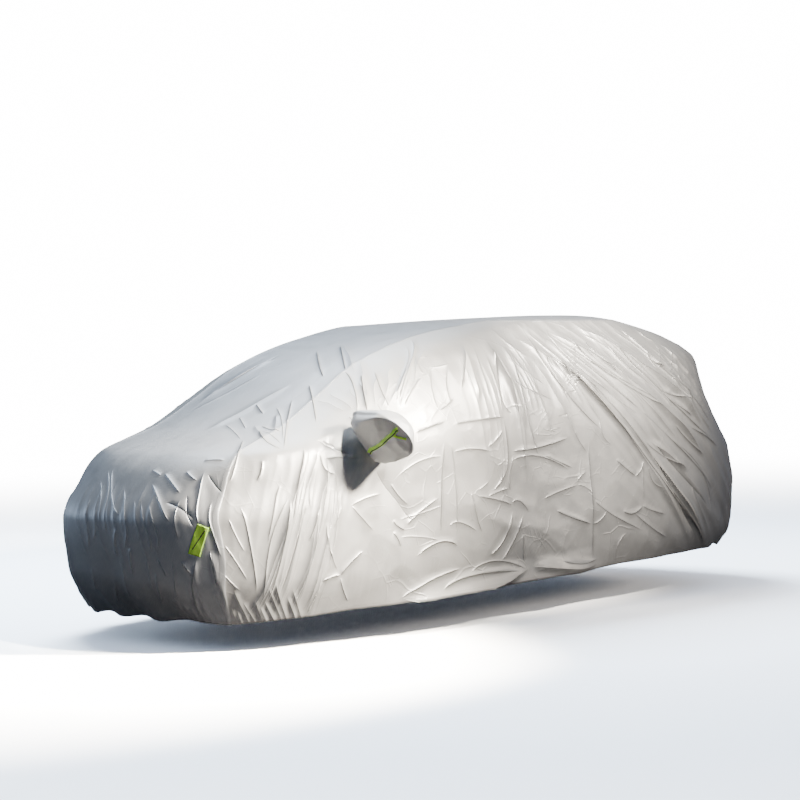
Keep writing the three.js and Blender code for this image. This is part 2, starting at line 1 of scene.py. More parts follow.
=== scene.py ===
# %% [markdown]
# # A fitted cover for a hatchback car
# A car cover is three lengths of thin silver cloth: one over the bonnet, windscreen and
# roof, and one down each side. Two pouches take the door mirrors, elastic gathers the hem
# at the nose and tail, and a few strips of reflective tape show where the car stands.
# This lesson dresses the imported model of that cover. The cloth is built by its own rules
# as fine grids, and its folds are laid in from short tables.

# %% Load the imported model
import math

import bpy
import numpy as np
from mathutils import Matrix, Vector


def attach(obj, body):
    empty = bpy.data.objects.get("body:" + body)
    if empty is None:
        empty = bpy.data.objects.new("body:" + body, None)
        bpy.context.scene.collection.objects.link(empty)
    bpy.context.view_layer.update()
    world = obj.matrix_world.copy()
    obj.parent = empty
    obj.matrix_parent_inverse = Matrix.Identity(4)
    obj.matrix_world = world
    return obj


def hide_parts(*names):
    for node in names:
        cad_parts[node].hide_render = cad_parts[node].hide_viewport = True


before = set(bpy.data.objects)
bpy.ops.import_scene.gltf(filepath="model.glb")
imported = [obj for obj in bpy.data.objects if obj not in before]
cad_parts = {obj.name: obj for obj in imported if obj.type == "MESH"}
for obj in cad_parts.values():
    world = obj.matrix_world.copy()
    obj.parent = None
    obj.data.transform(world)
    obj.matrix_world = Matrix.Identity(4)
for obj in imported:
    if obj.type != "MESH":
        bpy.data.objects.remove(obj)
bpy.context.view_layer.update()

print("nodes:", ", ".join(sorted(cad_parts)))

# %% [markdown]
# ## The covered form
# The cover takes its shape from the car under it. Level sections of that shape are rounded
# rectangles, so a table of a few heights with a half width, a front and a rear says all of
# it, as a boat builder's lines do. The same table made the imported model, so the fine cloth
# lies where the plain solid is. Heights are metres above the ground, and the row's origin
# is under the roof, 1.56 m up.

# %% Sections of the covered car
ROOF_TOP = 1.562
ROOF_UNDERSIDE = 1.560
SECTIONS = np.array([
    # height, half width, front, rear
    (1.562, 0.000, -0.060, -0.110),
    (1.558, 0.220, 0.095, -0.270),
    (1.523, 0.610, 0.815, -0.320),
    (1.420, 0.705, 1.360, -0.770),
    (1.300, 0.775, 1.690, -1.000),
    (1.160, 0.835, 1.925, -1.020),
    (1.020, 0.868, 2.185, -1.085),
    (0.900, 0.879, 2.540, -1.180),
    (0.780, 0.880, 2.690, -1.270),
    (0.600, 0.888, 2.810, -1.305),
    (0.350, 0.896, 2.785, -1.255),
    (0.150, 0.866, 2.665, -1.025),
    (0.060, 0.840, 2.600, -0.960),
])
REAR_CORNER = 4.2        # how square a section's rear corners are; 2 is an ellipse
FRONT_CORNER_LOW = 3.4
FRONT_CORNER_HIGH = 4.2
CORNER_CHANGES = (0.70, 1.10)
HEM = {"middle": 0.85, "reach": 2.0, "height": 0.203, "slope": -0.0555, "bow": -0.0275}


def smooth(low, high, value):
    t = np.clip((value - low) / (high - low), 0.0, 1.0)
    return t * t * (3.0 - 2.0 * t)


def monotone(xs, ys, x):
    """A curve through every point that never overshoots them."""
    width = np.diff(xs)
    rise = np.diff(ys) / width
    slope = np.zeros(len(ys))
    slope[0], slope[-1] = rise[0], rise[-1]
    for i in range(1, len(ys) - 1):
        if rise[i - 1] * rise[i] > 0:
            before = 2 * width[i] + width[i - 1]
            after = width[i] + 2 * width[i - 1]
            slope[i] = (before + after) / (before / rise[i - 1] + after / rise[i])
    k = np.clip(np.searchsorted(xs, x) - 1, 0, len(width) - 1)
    t = (x - xs[k]) / width[k]
    s = 1.0 - t
    return (ys[k] * (1 + 2 * t) * s * s + slope[k] * width[k] * t * s * s
            + ys[k + 1] * t * t * (3 - 2 * t) - slope[k + 1] * width[k] * t * t * s)


def sample_sections(count=2400):
    """Joins the sections along the girth, the way down the side from the roof's middle."""
    steps = np.hypot(np.diff(SECTIONS[:, 0]), np.diff(SECTIONS[:, 1]))
    girth = np.concatenate([[0.0], np.cumsum(steps)])
    at = np.linspace(0.0, girth[-1], count)
    table = np.stack([monotone(girth, SECTIONS[:, k], at) for k in range(4)], axis=1)
    return table[np.argsort(table[:, 0])]


LINES = sample_sections()
print("the covered form is sampled at", len(LINES), "heights")


# %% Points and normals of the form
def section_at(height):
    half_width, front, rear = (np.interp(height, LINES[:, 0], LINES[:, k]) for k in (1, 2, 3))
    upper = smooth(*CORNER_CHANGES, height)
    corner = FRONT_CORNER_LOW + (FRONT_CORNER_HIGH - FRONT_CORNER_LOW) * upper
    half_length = np.maximum((front - rear) / 2, 1e-6)
    return np.maximum(half_width, 1e-6), (front + rear) / 2, half_length, corner


def outsideness(x, y, height):
    """Below zero inside the covered car, above zero outside."""
    half_width, middle, half_length, front_corner = section_at(height)
    corner = np.where(x > middle, front_corner, REAR_CORNER)
    value = (np.abs((x - middle) / half_length) ** corner
             + np.abs(y / half_width) ** corner - 1.0)
    return np.where(height >= ROOF_TOP, 1.0, value)


def form_normals(points, probe=0.002):
    x, y, z = points[..., 0], points[..., 1], points[..., 2]
    z = np.minimum(z, ROOF_TOP - 3 * probe)
    grows = np.stack([
        outsideness(x + probe, y, z) - outsideness(x - probe, y, z),
        outsideness(x, y + probe, z) - outsideness(x, y - probe, z),
        outsideness(x, y, z + probe) - outsideness(x, y, z - probe),
    ], axis=-1)
    return grows / np.maximum(np.linalg.norm(grows, axis=-1, keepdims=True), 1e-12)


def rounded(value, power):
    """A cosine or sine bent for a rounded rectangle, its sign kept."""
    return np.sign(value) * np.abs(value) ** power


def section_point(height, turn):
    """turn is 0 at the nose, a quarter turn on the left side and a half at the tail."""
    half_width, middle, half_length, front_corner = section_at(height)
    c, s = np.cos(turn), np.sin(turn)
    power = 2.0 / np.where(c > 0, front_corner, REAR_CORNER)
    x, y = middle + half_length * rounded(c, power), half_width * rounded(s, power)
    return np.stack(np.broadcast_arrays(x, y, height), axis=-1)


def turn_at(height, y, end):
    half_width, _, _, front_corner = section_at(height)
    corner = front_corner if end > 0 else REAR_CORNER
    turn = np.arcsin(np.clip(y / half_width, 0, 1) ** (corner / 2))
    return turn if end > 0 else math.pi - turn


def surface_along(x, height, dx, dz, y, far=4.2, halvings=30):
    """Where lines from inside, each in its own upright lengthwise plane, leave the form."""
    inside = np.zeros_like(y)
    outside = np.full_like(y, far)
    for _ in range(halvings):
        at = (inside + outside) / 2
        within = outsideness(x + dx * at, y, height + dz * at) < 0
        inside = np.where(within, at, inside)
        outside = np.where(within, outside, at)
    return np.stack([x + dx * inside, y, height + dz * inside], axis=-1)


def hem_height(x):
    t = (x - HEM["middle"]) / HEM["reach"]
    return HEM["height"] + HEM["slope"] * t + HEM["bow"] * t * t


def on_side(x, height, side=1):
    """The point of the form's side at x and this height."""
    half_width, middle, half_length, front_corner = section_at(height)
    corner = np.where(x > middle, front_corner, REAR_CORNER)
    along = np.clip(np.abs((x - middle) / half_length), 0, 1) ** corner
    y = side * half_width * (1 - along) ** (1 / corner)
    return np.stack(np.broadcast_arrays(x, y, height), axis=-1)


def on_end(y, height, end=1):
    """The point of the form's nose (end 1) or tail (end -1) at y and this height."""
    y, height = np.broadcast_arrays(np.asarray(y, float), np.asarray(height, float))
    return surface_along(0.75, height, float(end), 0.0, y)


def on_top(x, y):
    """The point of the form's top at x and y."""
    x, y = np.broadcast_arrays(np.asarray(x, float), np.asarray(y, float))
    return surface_along(x, 0.60, 0.0, 1.0, y)


# %% [markdown]
# ## Camera, floor and light
# The camera stands off the car's front left corner with a long lens, 1.36 m above the
# ground. Narrow warm lights on the left rake along the side, most of all at the front, so
# its folds show, and leave the nose and the top in a cooler shade. The floor fades out into
# the pale surroundings, so no horizon cuts behind the cover.

# %% Camera
SENSOR_WIDTH = 36.0
CAMERA = {"at": (8.376, 7.836, 1.364), "yaw": -133.710, "pitch": -1.323, "roll": -1.316,
          "lens": 90.86}


def add_camera():
    yaw, pitch, roll = (math.radians(CAMERA[k]) for k in ("yaw", "pitch", "roll"))
    ahead = Vector((math.cos(pitch) * math.cos(yaw), math.cos(pitch) * math.sin(yaw),
                    math.sin(pitch)))
    right = Vector((math.sin(yaw), -math.cos(yaw), 0.0))
    up = right.cross(ahead)
    right, up = (right * math.cos(roll) + up * math.sin(roll),
                 up * math.cos(roll) - right * math.sin(roll))
    data = bpy.data.cameras.new("camera")
    data.lens = CAMERA["lens"]
    data.sensor_width = SENSOR_WIDTH
    data.clip_end = 200.0
    camera = bpy.data.objects.new("camera", data)
    place = Matrix((right, up, -ahead)).transposed().to_4x4()
    x, y, z = CAMERA["at"]
    place.translation = (x, y, z - ROOF_UNDERSIDE)
    camera.matrix_world = place
    bpy.context.scene.collection.objects.link(camera)
    bpy.context.scene.camera = camera
    print("camera", [round(v, 3) for v in camera.matrix_world.translation])


add_camera()


# %% Small helpers for nodes, meshes and lights
def add_node(tree, kind, inputs=None, **settings):
    """A new node with its settings, and its inputs as values or as sockets to link from."""
    node = tree.nodes.new(kind)
    for name, value in settings.items():
        setattr(node, name, value)
    for key, value in (inputs or {}).items():
        if isinstance(value, bpy.types.NodeSocket):
            tree.links.new(value, node.inputs[key])
        else:
            node.inputs[key].default_value = value
    return node


def new_material(name):
    material = bpy.data.materials.new(name)
    material.use_nodes = True
    material.node_tree.nodes.clear()
    return material, material.node_tree


def add_mesh(name, points, faces, *materials, index=None):
    """points are above the ground; the piece lies in the row's frame under the roof."""
    mesh = bpy.data.meshes.new(name)
    placed = np.asarray(points, float).reshape(-1, 3) - (0, 0, ROOF_UNDERSIDE)
    mesh.from_pydata(placed.tolist(), [], faces if isinstance(faces, list) else faces.tolist())
    for material in materials:
        mesh.materials.append(material)
    mesh.polygons.foreach_set("use_smooth", [True] * len(mesh.polygons))
    if index is not None:
        mesh.polygons.foreach_set("material_index", index)
    mesh.update()
    piece = bpy.data.objects.new(name, mesh)
    bpy.context.scene.collection.objects.link(piece)
    return piece


def add_area(name, at, towards, size, watts, colour, spread):
    data = bpy.data.lights.new(name, "AREA")
    data.shape = "RECTANGLE"
    data.size, data.size_y = size
    data.energy = watts
    data.color = colour
    data.spread = math.radians(spread)
    light = bpy.data.objects.new(name, data)
    light.location = at
    aim = Vector(towards) - Vector(at)
    light.visible_camera = False
    light.rotation_euler = aim.to_track_quat("-Z", "Y").to_euler()
    bpy.context.scene.collection.objects.link(light)


# %% Floor and surroundings
FLOOR_RADIUS = 26.0
FLOOR_FADES = (4.5, 15.0)
FLOOR_DARK = (0.06, 0.06, 0.065, 1)        # as the cover sees it
FLOOR_PALE = (8.0, 8.0, 8.0, 1)            # as the camera sees it


def add_floor():
    points = [(0.8 + FLOOR_RADIUS * math.cos(t), FLOOR_RADIUS * math.sin(t), 0.0)
              for t in np.linspace(0, 2 * math.pi, 96, endpoint=False)]
    material, tree = new_material("pale_floor")
    place = add_node(tree, "ShaderNodeTexCoord").outputs["Object"]
    length = add_node(tree, "ShaderNodeVectorMath", {0: place}, operation="LENGTH")
    fade = add_node(tree, "ShaderNodeMapRange",
                    {"Value": length.outputs["Value"], "From Min": FLOOR_FADES[0],
                     "From Max": FLOOR_FADES[1]}, interpolation_type="SMOOTHSTEP")
    seen = add_node(tree, "ShaderNodeLightPath").outputs["Is Camera Ray"]
    tone = add_node(tree, "ShaderNodeMix", {"Factor": seen, "A": FLOOR_DARK, "B": FLOOR_PALE},
                    data_type="RGBA")
    pale = add_node(tree, "ShaderNodeBsdfDiffuse", {"Color": tone.outputs["Result"]})
    clear = add_node(tree, "ShaderNodeBsdfTransparent")
    blend = add_node(tree, "ShaderNodeMixShader",
                     {"Fac": fade.outputs["Result"], 1: pale.outputs["BSDF"],
                      2: clear.outputs["BSDF"]})
    add_node(tree, "ShaderNodeOutputMaterial", {"Surface": blend.outputs["Shader"]})
    add_mesh("studio_floor", points, [list(range(len(points)))], material)


def add_surroundings():
    world = bpy.data.worlds.new("studio")
    world.use_nodes = True
    tree = world.node_tree
    tree.nodes.clear()
    lit, seen = (add_node(tree, "ShaderNodeBackground", {"Color": colour, "Strength": strength})
                 for colour, strength in (((0.62, 0.76, 1.0, 1), 0.16),
                                          ((1.0, 1.0, 1.0, 1), 16.0)))
    path = add_node(tree, "ShaderNodeLightPath")
    blend = add_node(tree, "ShaderNodeMixShader",
                     {"Fac": path.outputs["Is Camera Ray"], 1: lit.outputs["Background"],
                      2: seen.outputs["Background"]})
    add_node(tree, "ShaderNodeOutputWorld", {"Surface": blend.outputs["Shader"]})
    bpy.context.scene.world = world


LIGHTS = [
    # name, at, towards, size, watts, colour, spread in degrees
    ("side_key", (0.7, 3.3, 1.00), (2.7, 0.85, -0.40), (0.4, 0.4), 150, (1.0, 0.91, 0.77), 62),
    ("side_rear", (-4.4, 5.6, 0.9), (-0.2, 0.8, -0.7), (1.6, 1.3), 58, (1.0, 0.88, 0.74), 180),
    ("side_high", (0.1, 4.3, 1.70), (0.35, 0.8, 0.05), (0.4, 0.4), 36, (1.0, 0.93, 0.83), 38),
    ("shoulder", (1.5, 3.4, 3.20), (1.95, 0.85, -0.55), (0.4, 0.4), 16, (1.0, 0.94, 0.84), 24),
    ("top_fill", (0.2, -3.2, 5.4), (0.9, 0.0, -0.3), (4.0, 4.0), 460, (0.72, 0.85, 1.0), 180),
    ("nose_rake", (4.2, -6.0, 0.2), (2.7, 0.1, -1.0), (3.0, 2.0), 48, (0.62, 0.78, 1.0), 180),
]
add_floor()
add_surroundings()
for row in LIGHTS:
    add_area(*row)

# %% [markdown]
# ## Panels as grids
# Each panel is a grid of points on the form. A side panel's rows run level from the front
# seam to the rear seam, and its lowest rows follow the hem. The centre panel's rows start
# on that seam, so the two panels meet along it.

# %% Seams
FRONT_SEAM = np.array([(0.06, 0.530), (0.44, 0.613), (0.82, 0.560), (1.06, 0.480),
                       (1.30, 0.456), (1.44, 0.460), (1.515, 0.545)])
REAR_SEAM = np.array([(0.06, 0.640), (1.30, 0.640), (1.515, 0.570)])
LOWEST_ROW = 0.150
HIGHEST_ROW = 1.515


def row_heights(count):
    """Row heights whose rows are evenly spaced along the front seam."""
    fine = np.linspace(LOWEST_ROW, HIGHEST_ROW, 400)
    y = monotone(FRONT_SEAM[:, 0], FRONT_SEAM[:, 1], fine)
    front = section_point(fine, turn_at(fine, y, 1))
    side = section_point(fine, np.full_like(fine, math.pi / 2))
    steps = [np.linalg.norm(np.diff(edge, axis=0), axis=1) for edge in (front, side)]
    run = np.concatenate([[0.0], np.cumsum(0.5 * steps[0] + 0.5 * steps[1])])
    return np.interp(np.linspace(0, run[-1], count), run, fine)


def run_along(points):
    return np.concatenate([[0.0], np.cumsum(np.linalg.norm(np.diff(points, axis=0), axis=1))])


def even_turns(height, columns, fine_count=1200):
    first = turn_at(height, monotone(FRONT_SEAM[:, 0], FRONT_SEAM[:, 1], height), 1)
    last = turn_at(height, monotone(REAR_SEAM[:, 0], REAR_SEAM[:, 1], height), -1)
    fine = np.linspace(first, last, fine_count)
    points = section_point(np.full_like(fine, height), fine)
    run = run_along(points)
    return np.interp(np.linspace(0, run[-1], columns), run, fine)


def form_row(level, columns):
    """One row of the left side's form; the low rows bend down to the hem."""
    turns = even_turns(level, columns)
    share = ((HIGHEST_ROW - level) / (HIGHEST_ROW - LOWEST_ROW)) ** 2
    x = section_point(np.full(columns, level), turns)[:, 0]
    return section_point(level + (hem_height(x) - LOWEST_ROW) * share, turns)


def side_form(rows, columns):
    return np.stack([form_row(level, columns) for level in row_heights(rows)])


def across_form(edge, y):
    """Rows of the form across the car at these y, each in the slanted plane of its point
    of the edge, which turns about a line in the middle of the car."""
    x0, h0 = 0.75, np.minimum(0.60, edge[:, 2])
    reach = np.hypot(edge[:, 0] - x0, edge[:, 2] - h0)
    height, dx, dz = (np.broadcast_to(v[:, None], y.shape) for v in
                      (h0, (edge[:, 0] - x0) / reach, (edge[:, 2] - h0) / reach))
    return surface_along(x0, height, dx, dz, y)


def even_path(points, step):
    """The same path with points about this far apart."""
    run = run_along(points)
    at = np.linspace(0, run[-1], int(round(run[-1] / step)) + 1)
    return np.stack([np.interp(at, run, points[:, k]) for k in range(3)], axis=1)


def seam_path(step):
    """The left seam, from the front hem over the roof's edge to the rear hem."""
    front, rear = side_form(300, 2).transpose(1, 0, 2)
    roof = section_point(np.full(200, HIGHEST_ROW), even_turns(HIGHEST_ROW, 200))
    return even_path(np.concatenate([front, roof[1:-1], rear[::-1]]), step)


SIDE_ROWS, SIDE_COLUMNS = ((166, 540))
CENTRE_STEP, CENTRE_COLUMNS = ((0.0098, 138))
side_base = side_form(SIDE_ROWS, SIDE_COLUMNS)
seam = seam_path(CENTRE_STEP)
seam_y = seam[:, 1][:, None]
centre_base = across_form(seam, seam_y * np.linspace(1, -1, CENTRE_COLUMNS)[None, :])
print("side grid", side_base.shape[:2], "centre grid", centre_base.shape[:2])

# %% [markdown]
# ## Folds
# Thin coated cloth shows three kinds of fold. Pull folds run straight from where the cloth
# is held to where it is gathered. Storage creases are narrow ridges left by the bag. And
# everywhere the film crumples a little. Each listed fold is a row of a table: where
# it starts and ends, how far it bows and strays, how high and wide it is. The nearest
# point of its line gives each point of the cloth its distance and so its height.


# %% A fold
FOLD_TIP = 0.30            # how narrow a fold is at its ends, next to its middle


def crest(place, a, b, to_a, to_b, bow=0.0, stray=0.0, seed=0, steps=12):
    """The points along a fold's top. a and b are coordinates for place()."""
    t = np.linspace(0, 1, steps + 1)
    length = math.hypot(to_a - a, to_b - b)
    across = np.array([-(to_b - b), to_a - a]) / max(length, 1e-9)
    random = np.random.default_rng(seed)
    waves = sum(random.normal() / k * np.sin(math.pi * k * t) for k in (2, 3, 4))
    off = bow * 4 * t * (1 - t) + stray * waves
    return place(a + (to_a - a) * t + across[0] * off, b + (to_b - b) * t + across[1] * off)


def nearest_on(line, points, normals):
    """Distance to a line, its sign, and how far along the line the nearest point is."""
    best = np.full(len(points), np.inf)
    along = np.zeros(len(points))
    sign = np.ones(len(points))
    count = len(line) - 1
    for i in range(count):
        run = line[i + 1] - line[i]
        t = np.clip((points - line[i]) @ run / max(run @ run, 1e-12), 0, 1)
        off = points - line[i] - t[:, None] * run
        distance = np.einsum("ij,ij->i", off, off)
        closer = distance < best
        best = np.where(closer, distance, best)
        along = np.where(closer, (i + t) / count, along)
        side = np.einsum("ij,ij->i", np.cross(run, off), normals)
        sign = np.where(closer, np.where(side < 0, -1.0, 1.0), sign)
    return np.sqrt(best), sign, along


def fold_height(points, normals, line, rise, width, lean=0.0, fade=0.22):
    """How high one fold stands at each point. lean makes one flank steeper."""
    height = np.zeros(len(points))
    reach = 3.4 * width
    low, high = line.min(0) - reach, line.max(0) + reach
    near = np.nonzero(np.all((points > low) & (points < high), axis=1))[0]
    if len(near) == 0:
        return height
    p, n = points[near], normals[near]
    distance, sign, along = nearest_on(line, p, n)
    taper = FOLD_TIP + (1 - FOLD_TIP) * np.sin(math.pi * np.clip(along, 0, 1)) ** 0.7
    scale = distance / (width * taper * (1 + lean * sign))
    shape = 0.55 * np.exp(-1.6 * scale) + 0.45 * np.exp(-scale * scale)
    ends = smooth(0, fade, along) * smooth(0, fade, 1 - along)
    height[near] = rise * ends * shape
    return height


# %% [markdown]
# The tables below use the left side's x and height, the nose's and tail's y and height,
# or the top's x and y. The right side hangs in the same main folds, each moved a little,
# because nobody pulls a cover on evenly.

# %% Fold tables
SIDE_PULLS = [
    # a, b, to_a, to_b, bow, rise, width, lean
    (0.560, 1.370, -0.660, 0.265, -0.035, 0.036, 0.044, 0.45),
    (0.430, 1.300, -0.560, 0.290, -0.045, -0.026, 0.050, -0.20),
    (0.480, 1.480, -0.740, 0.670, -0.060, 0.019, 0.042, 0.30),
    (0.200, 1.480, -0.700, 0.900, -0.050, 0.017, 0.040, 0.30),
    (0.770, 1.465, -0.500, 0.275, -0.090, 0.017, 0.040, 0.30),
    (-0.130, 0.860, -0.500, 0.675, 0.000, 0.015, 0.028, 0.30),
    (0.930, 1.440, 0.830, 0.960, 0.020, 0.016, 0.034, 0.20),
    (1.105, 1.410, 1.150, 1.110, 0.000, 0.015, 0.030, 0.00),
    (1.440, 1.310, 1.640, 1.090, 0.010, 0.008, 0.022, 0.20),
    (1.710, 1.235, 1.800, 1.090, 0.000, 0.007, 0.020, 0.20),
    (2.125, 0.950, 2.395, 0.165, 0.040, 0.011, 0.028, 0.30),
    (2.110, 0.930, 2.330, 0.165, -0.025, 0.013, 0.032, 0.30),
    (2.080, 0.900, 2.260, 0.175, -0.060, 0.009, 0.026, 0.30),
    (2.160, 0.950, 2.465, 0.150, 0.040, 0.009, 0.026, 0.00),
    (1.870, 0.820, 1.650, 0.550, 0.000, -0.014, 0.055, 0.00),
    (2.100, 0.965, 1.990, 0.885, 0.000, -0.017, 0.050, 0.00),
    (1.750, 0.200, 0.860, 0.265, 0.060, 0.022, 0.035, 0.30),
    (0.850, 0.270, 0.330, 0.240, 0.015, 0.016, 0.030, 0.30),
]
NOSE_PULLS = [
    (-0.480, 0.800, -0.380, 0.330, 0.000, 0.0040, 0.018, 0.30),
    (-0.337, 0.810, -0.180, 0.400, 0.000, 0.0050, 0.015, 0.30),
    (-0.270, 0.790, -0.110, 0.480, 0.000, 0.0030, 0.012, -0.30),
    (-0.190, 0.810, 0.000, 0.370, 0.000, 0.0050, 0.015, 0.30),
    (-0.087, 0.800, 0.057, 0.470, 0.000, 0.0040, 0.012, 0.30),
    (-0.030, 0.805, 0.150, 0.330, 0.000, 0.0050, 0.015, 0.30),
    (0.060, 0.790, 0.160, 0.420, 0.000, 0.0030, 0.012, 0.30),
    (0.150, 0.800, 0.300, 0.380, 0.000, 0.0050, 0.015, 0.30),
    (0.240, 0.780, 0.350, 0.420, 0.000, 0.0040, 0.013, 0.30),
    (0.519, 0.459, 0.472, 0.140, 0.010, 0.0060, 0.014, 0.30),
    (0.585, 0.486, 0.590, 0.250, 0.000, 0.0060, 0.014, 0.30),
]
TOP_PULLS = [
    (2.215, 0.000, 1.820, 0.200, 0.000, 0.008, 0.040, 0.20),
    (1.960, -0.370, 1.560, -0.215, 0.000, 0.008, 0.040, 0.20),
    (2.150, 0.300, 2.290, 0.560, 0.000, 0.006, 0.018, 0.20),
    (2.050, 0.350, 2.200, 0.520, 0.000, 0.006, 0.018, 0.20),
    (1.380, 0.095, 1.700, 0.540, 0.000, 0.007, 0.024, 0.20),
    (1.590, 0.450, 1.710, 0.620, 0.000, 0.008, 0.020, 0.20),
]
TAIL_PULLS = [
    (-0.420, 1.150, -0.300, 0.420, 0.000, 0.016, 0.032, 0.30),
    (-0.250, 1.180, -0.200, 0.520, 0.000, 0.010, 0.022, 0.30),
    (-0.060, 1.200, -0.020, 0.380, 0.000, 0.017, 0.034, -0.30),
    (0.140, 1.160, 0.110, 0.500, 0.000, 0.011, 0.022, 0.30),
    (0.330, 1.150, 0.260, 0.420, 0.000, 0.016, 0.032, -0.30),
]
print(len(SIDE_PULLS) + len(NOSE_PULLS) + len(TOP_PULLS) + len(TAIL_PULLS), "pull folds")


# %% [markdown]
# ## Placing creases through the camera
# The sharp creases are placed in the camera's view. A row of their tables holds the
# crease's size and three pixels, and the next cell finds where the camera's rays through
# those pixels first meet the covered form.

# %% Where a ray of the camera meets the form
PICTURE_SIDE = 800                # pixels
NEAREST, FARTHEST, STEP = 6.0, 14.0, 0.005        # along a ray
PLACED_TO = 0.005                 # creases are placed to the nearest 5 mm


def is_outside(points):
    half_width, middle, half_length, corner = section_at(points[:, 2])
    corner = np.where(points[:, 0] > middle, corner, REAR_CORNER)
    reach = (np.abs((points[:, 0] - middle) / half_length) ** corner
             + np.abs(points[:, 1] / half_width) ** corner)
    return (reach > 1) | (points[:, 2] > ROOF_TOP)


def first_hits(pixels):
    """Where the camera's rays through these pixels first meet the form."""
    place = np.array(bpy.context.scene.camera.matrix_world)
    lens = CAMERA["lens"] / SENSOR_WIDTH * PICTURE_SIDE
    x, y = (pixels - PICTURE_SIDE / 2).T
    rays = np.stack([x, -y, np.full(len(x), -lens)], axis=1) @ place[:3, :3].T
    rays /= np.linalg.norm(rays, axis=1, keepdims=True)
    start = place[:3, 3] + (0, 0, ROOF_UNDERSIDE)
    far = np.full(len(rays), NEAREST)
    for _ in range(round((FARTHEST - NEAREST) / STEP)):
        far = np.where(is_outside(start + rays * far[:, None]), far + STEP, far)
    near = far - STEP
    for _ in range(20):
        half = (near + far) / 2
        out = is_outside(start + rays * half[:, None])
        near, far = np.where(out, half, near), np.where(out, far, half)
    return start + rays * far[:, None]


def placed_rows(table, axes):
    """The three points of each crease along these two axes, then its rise."""
    pixels = np.array(table, float)[:, 1:].reshape(-1, 2)
    points = np.round(first_hits(pixels)[:, axes] / PLACED_TO) * PLACED_TO
    return [(*row, math.copysign(RISES[abs(size)], size))
            for row, (size, *_) in zip(points.reshape(-1, 6).tolist(), table)]


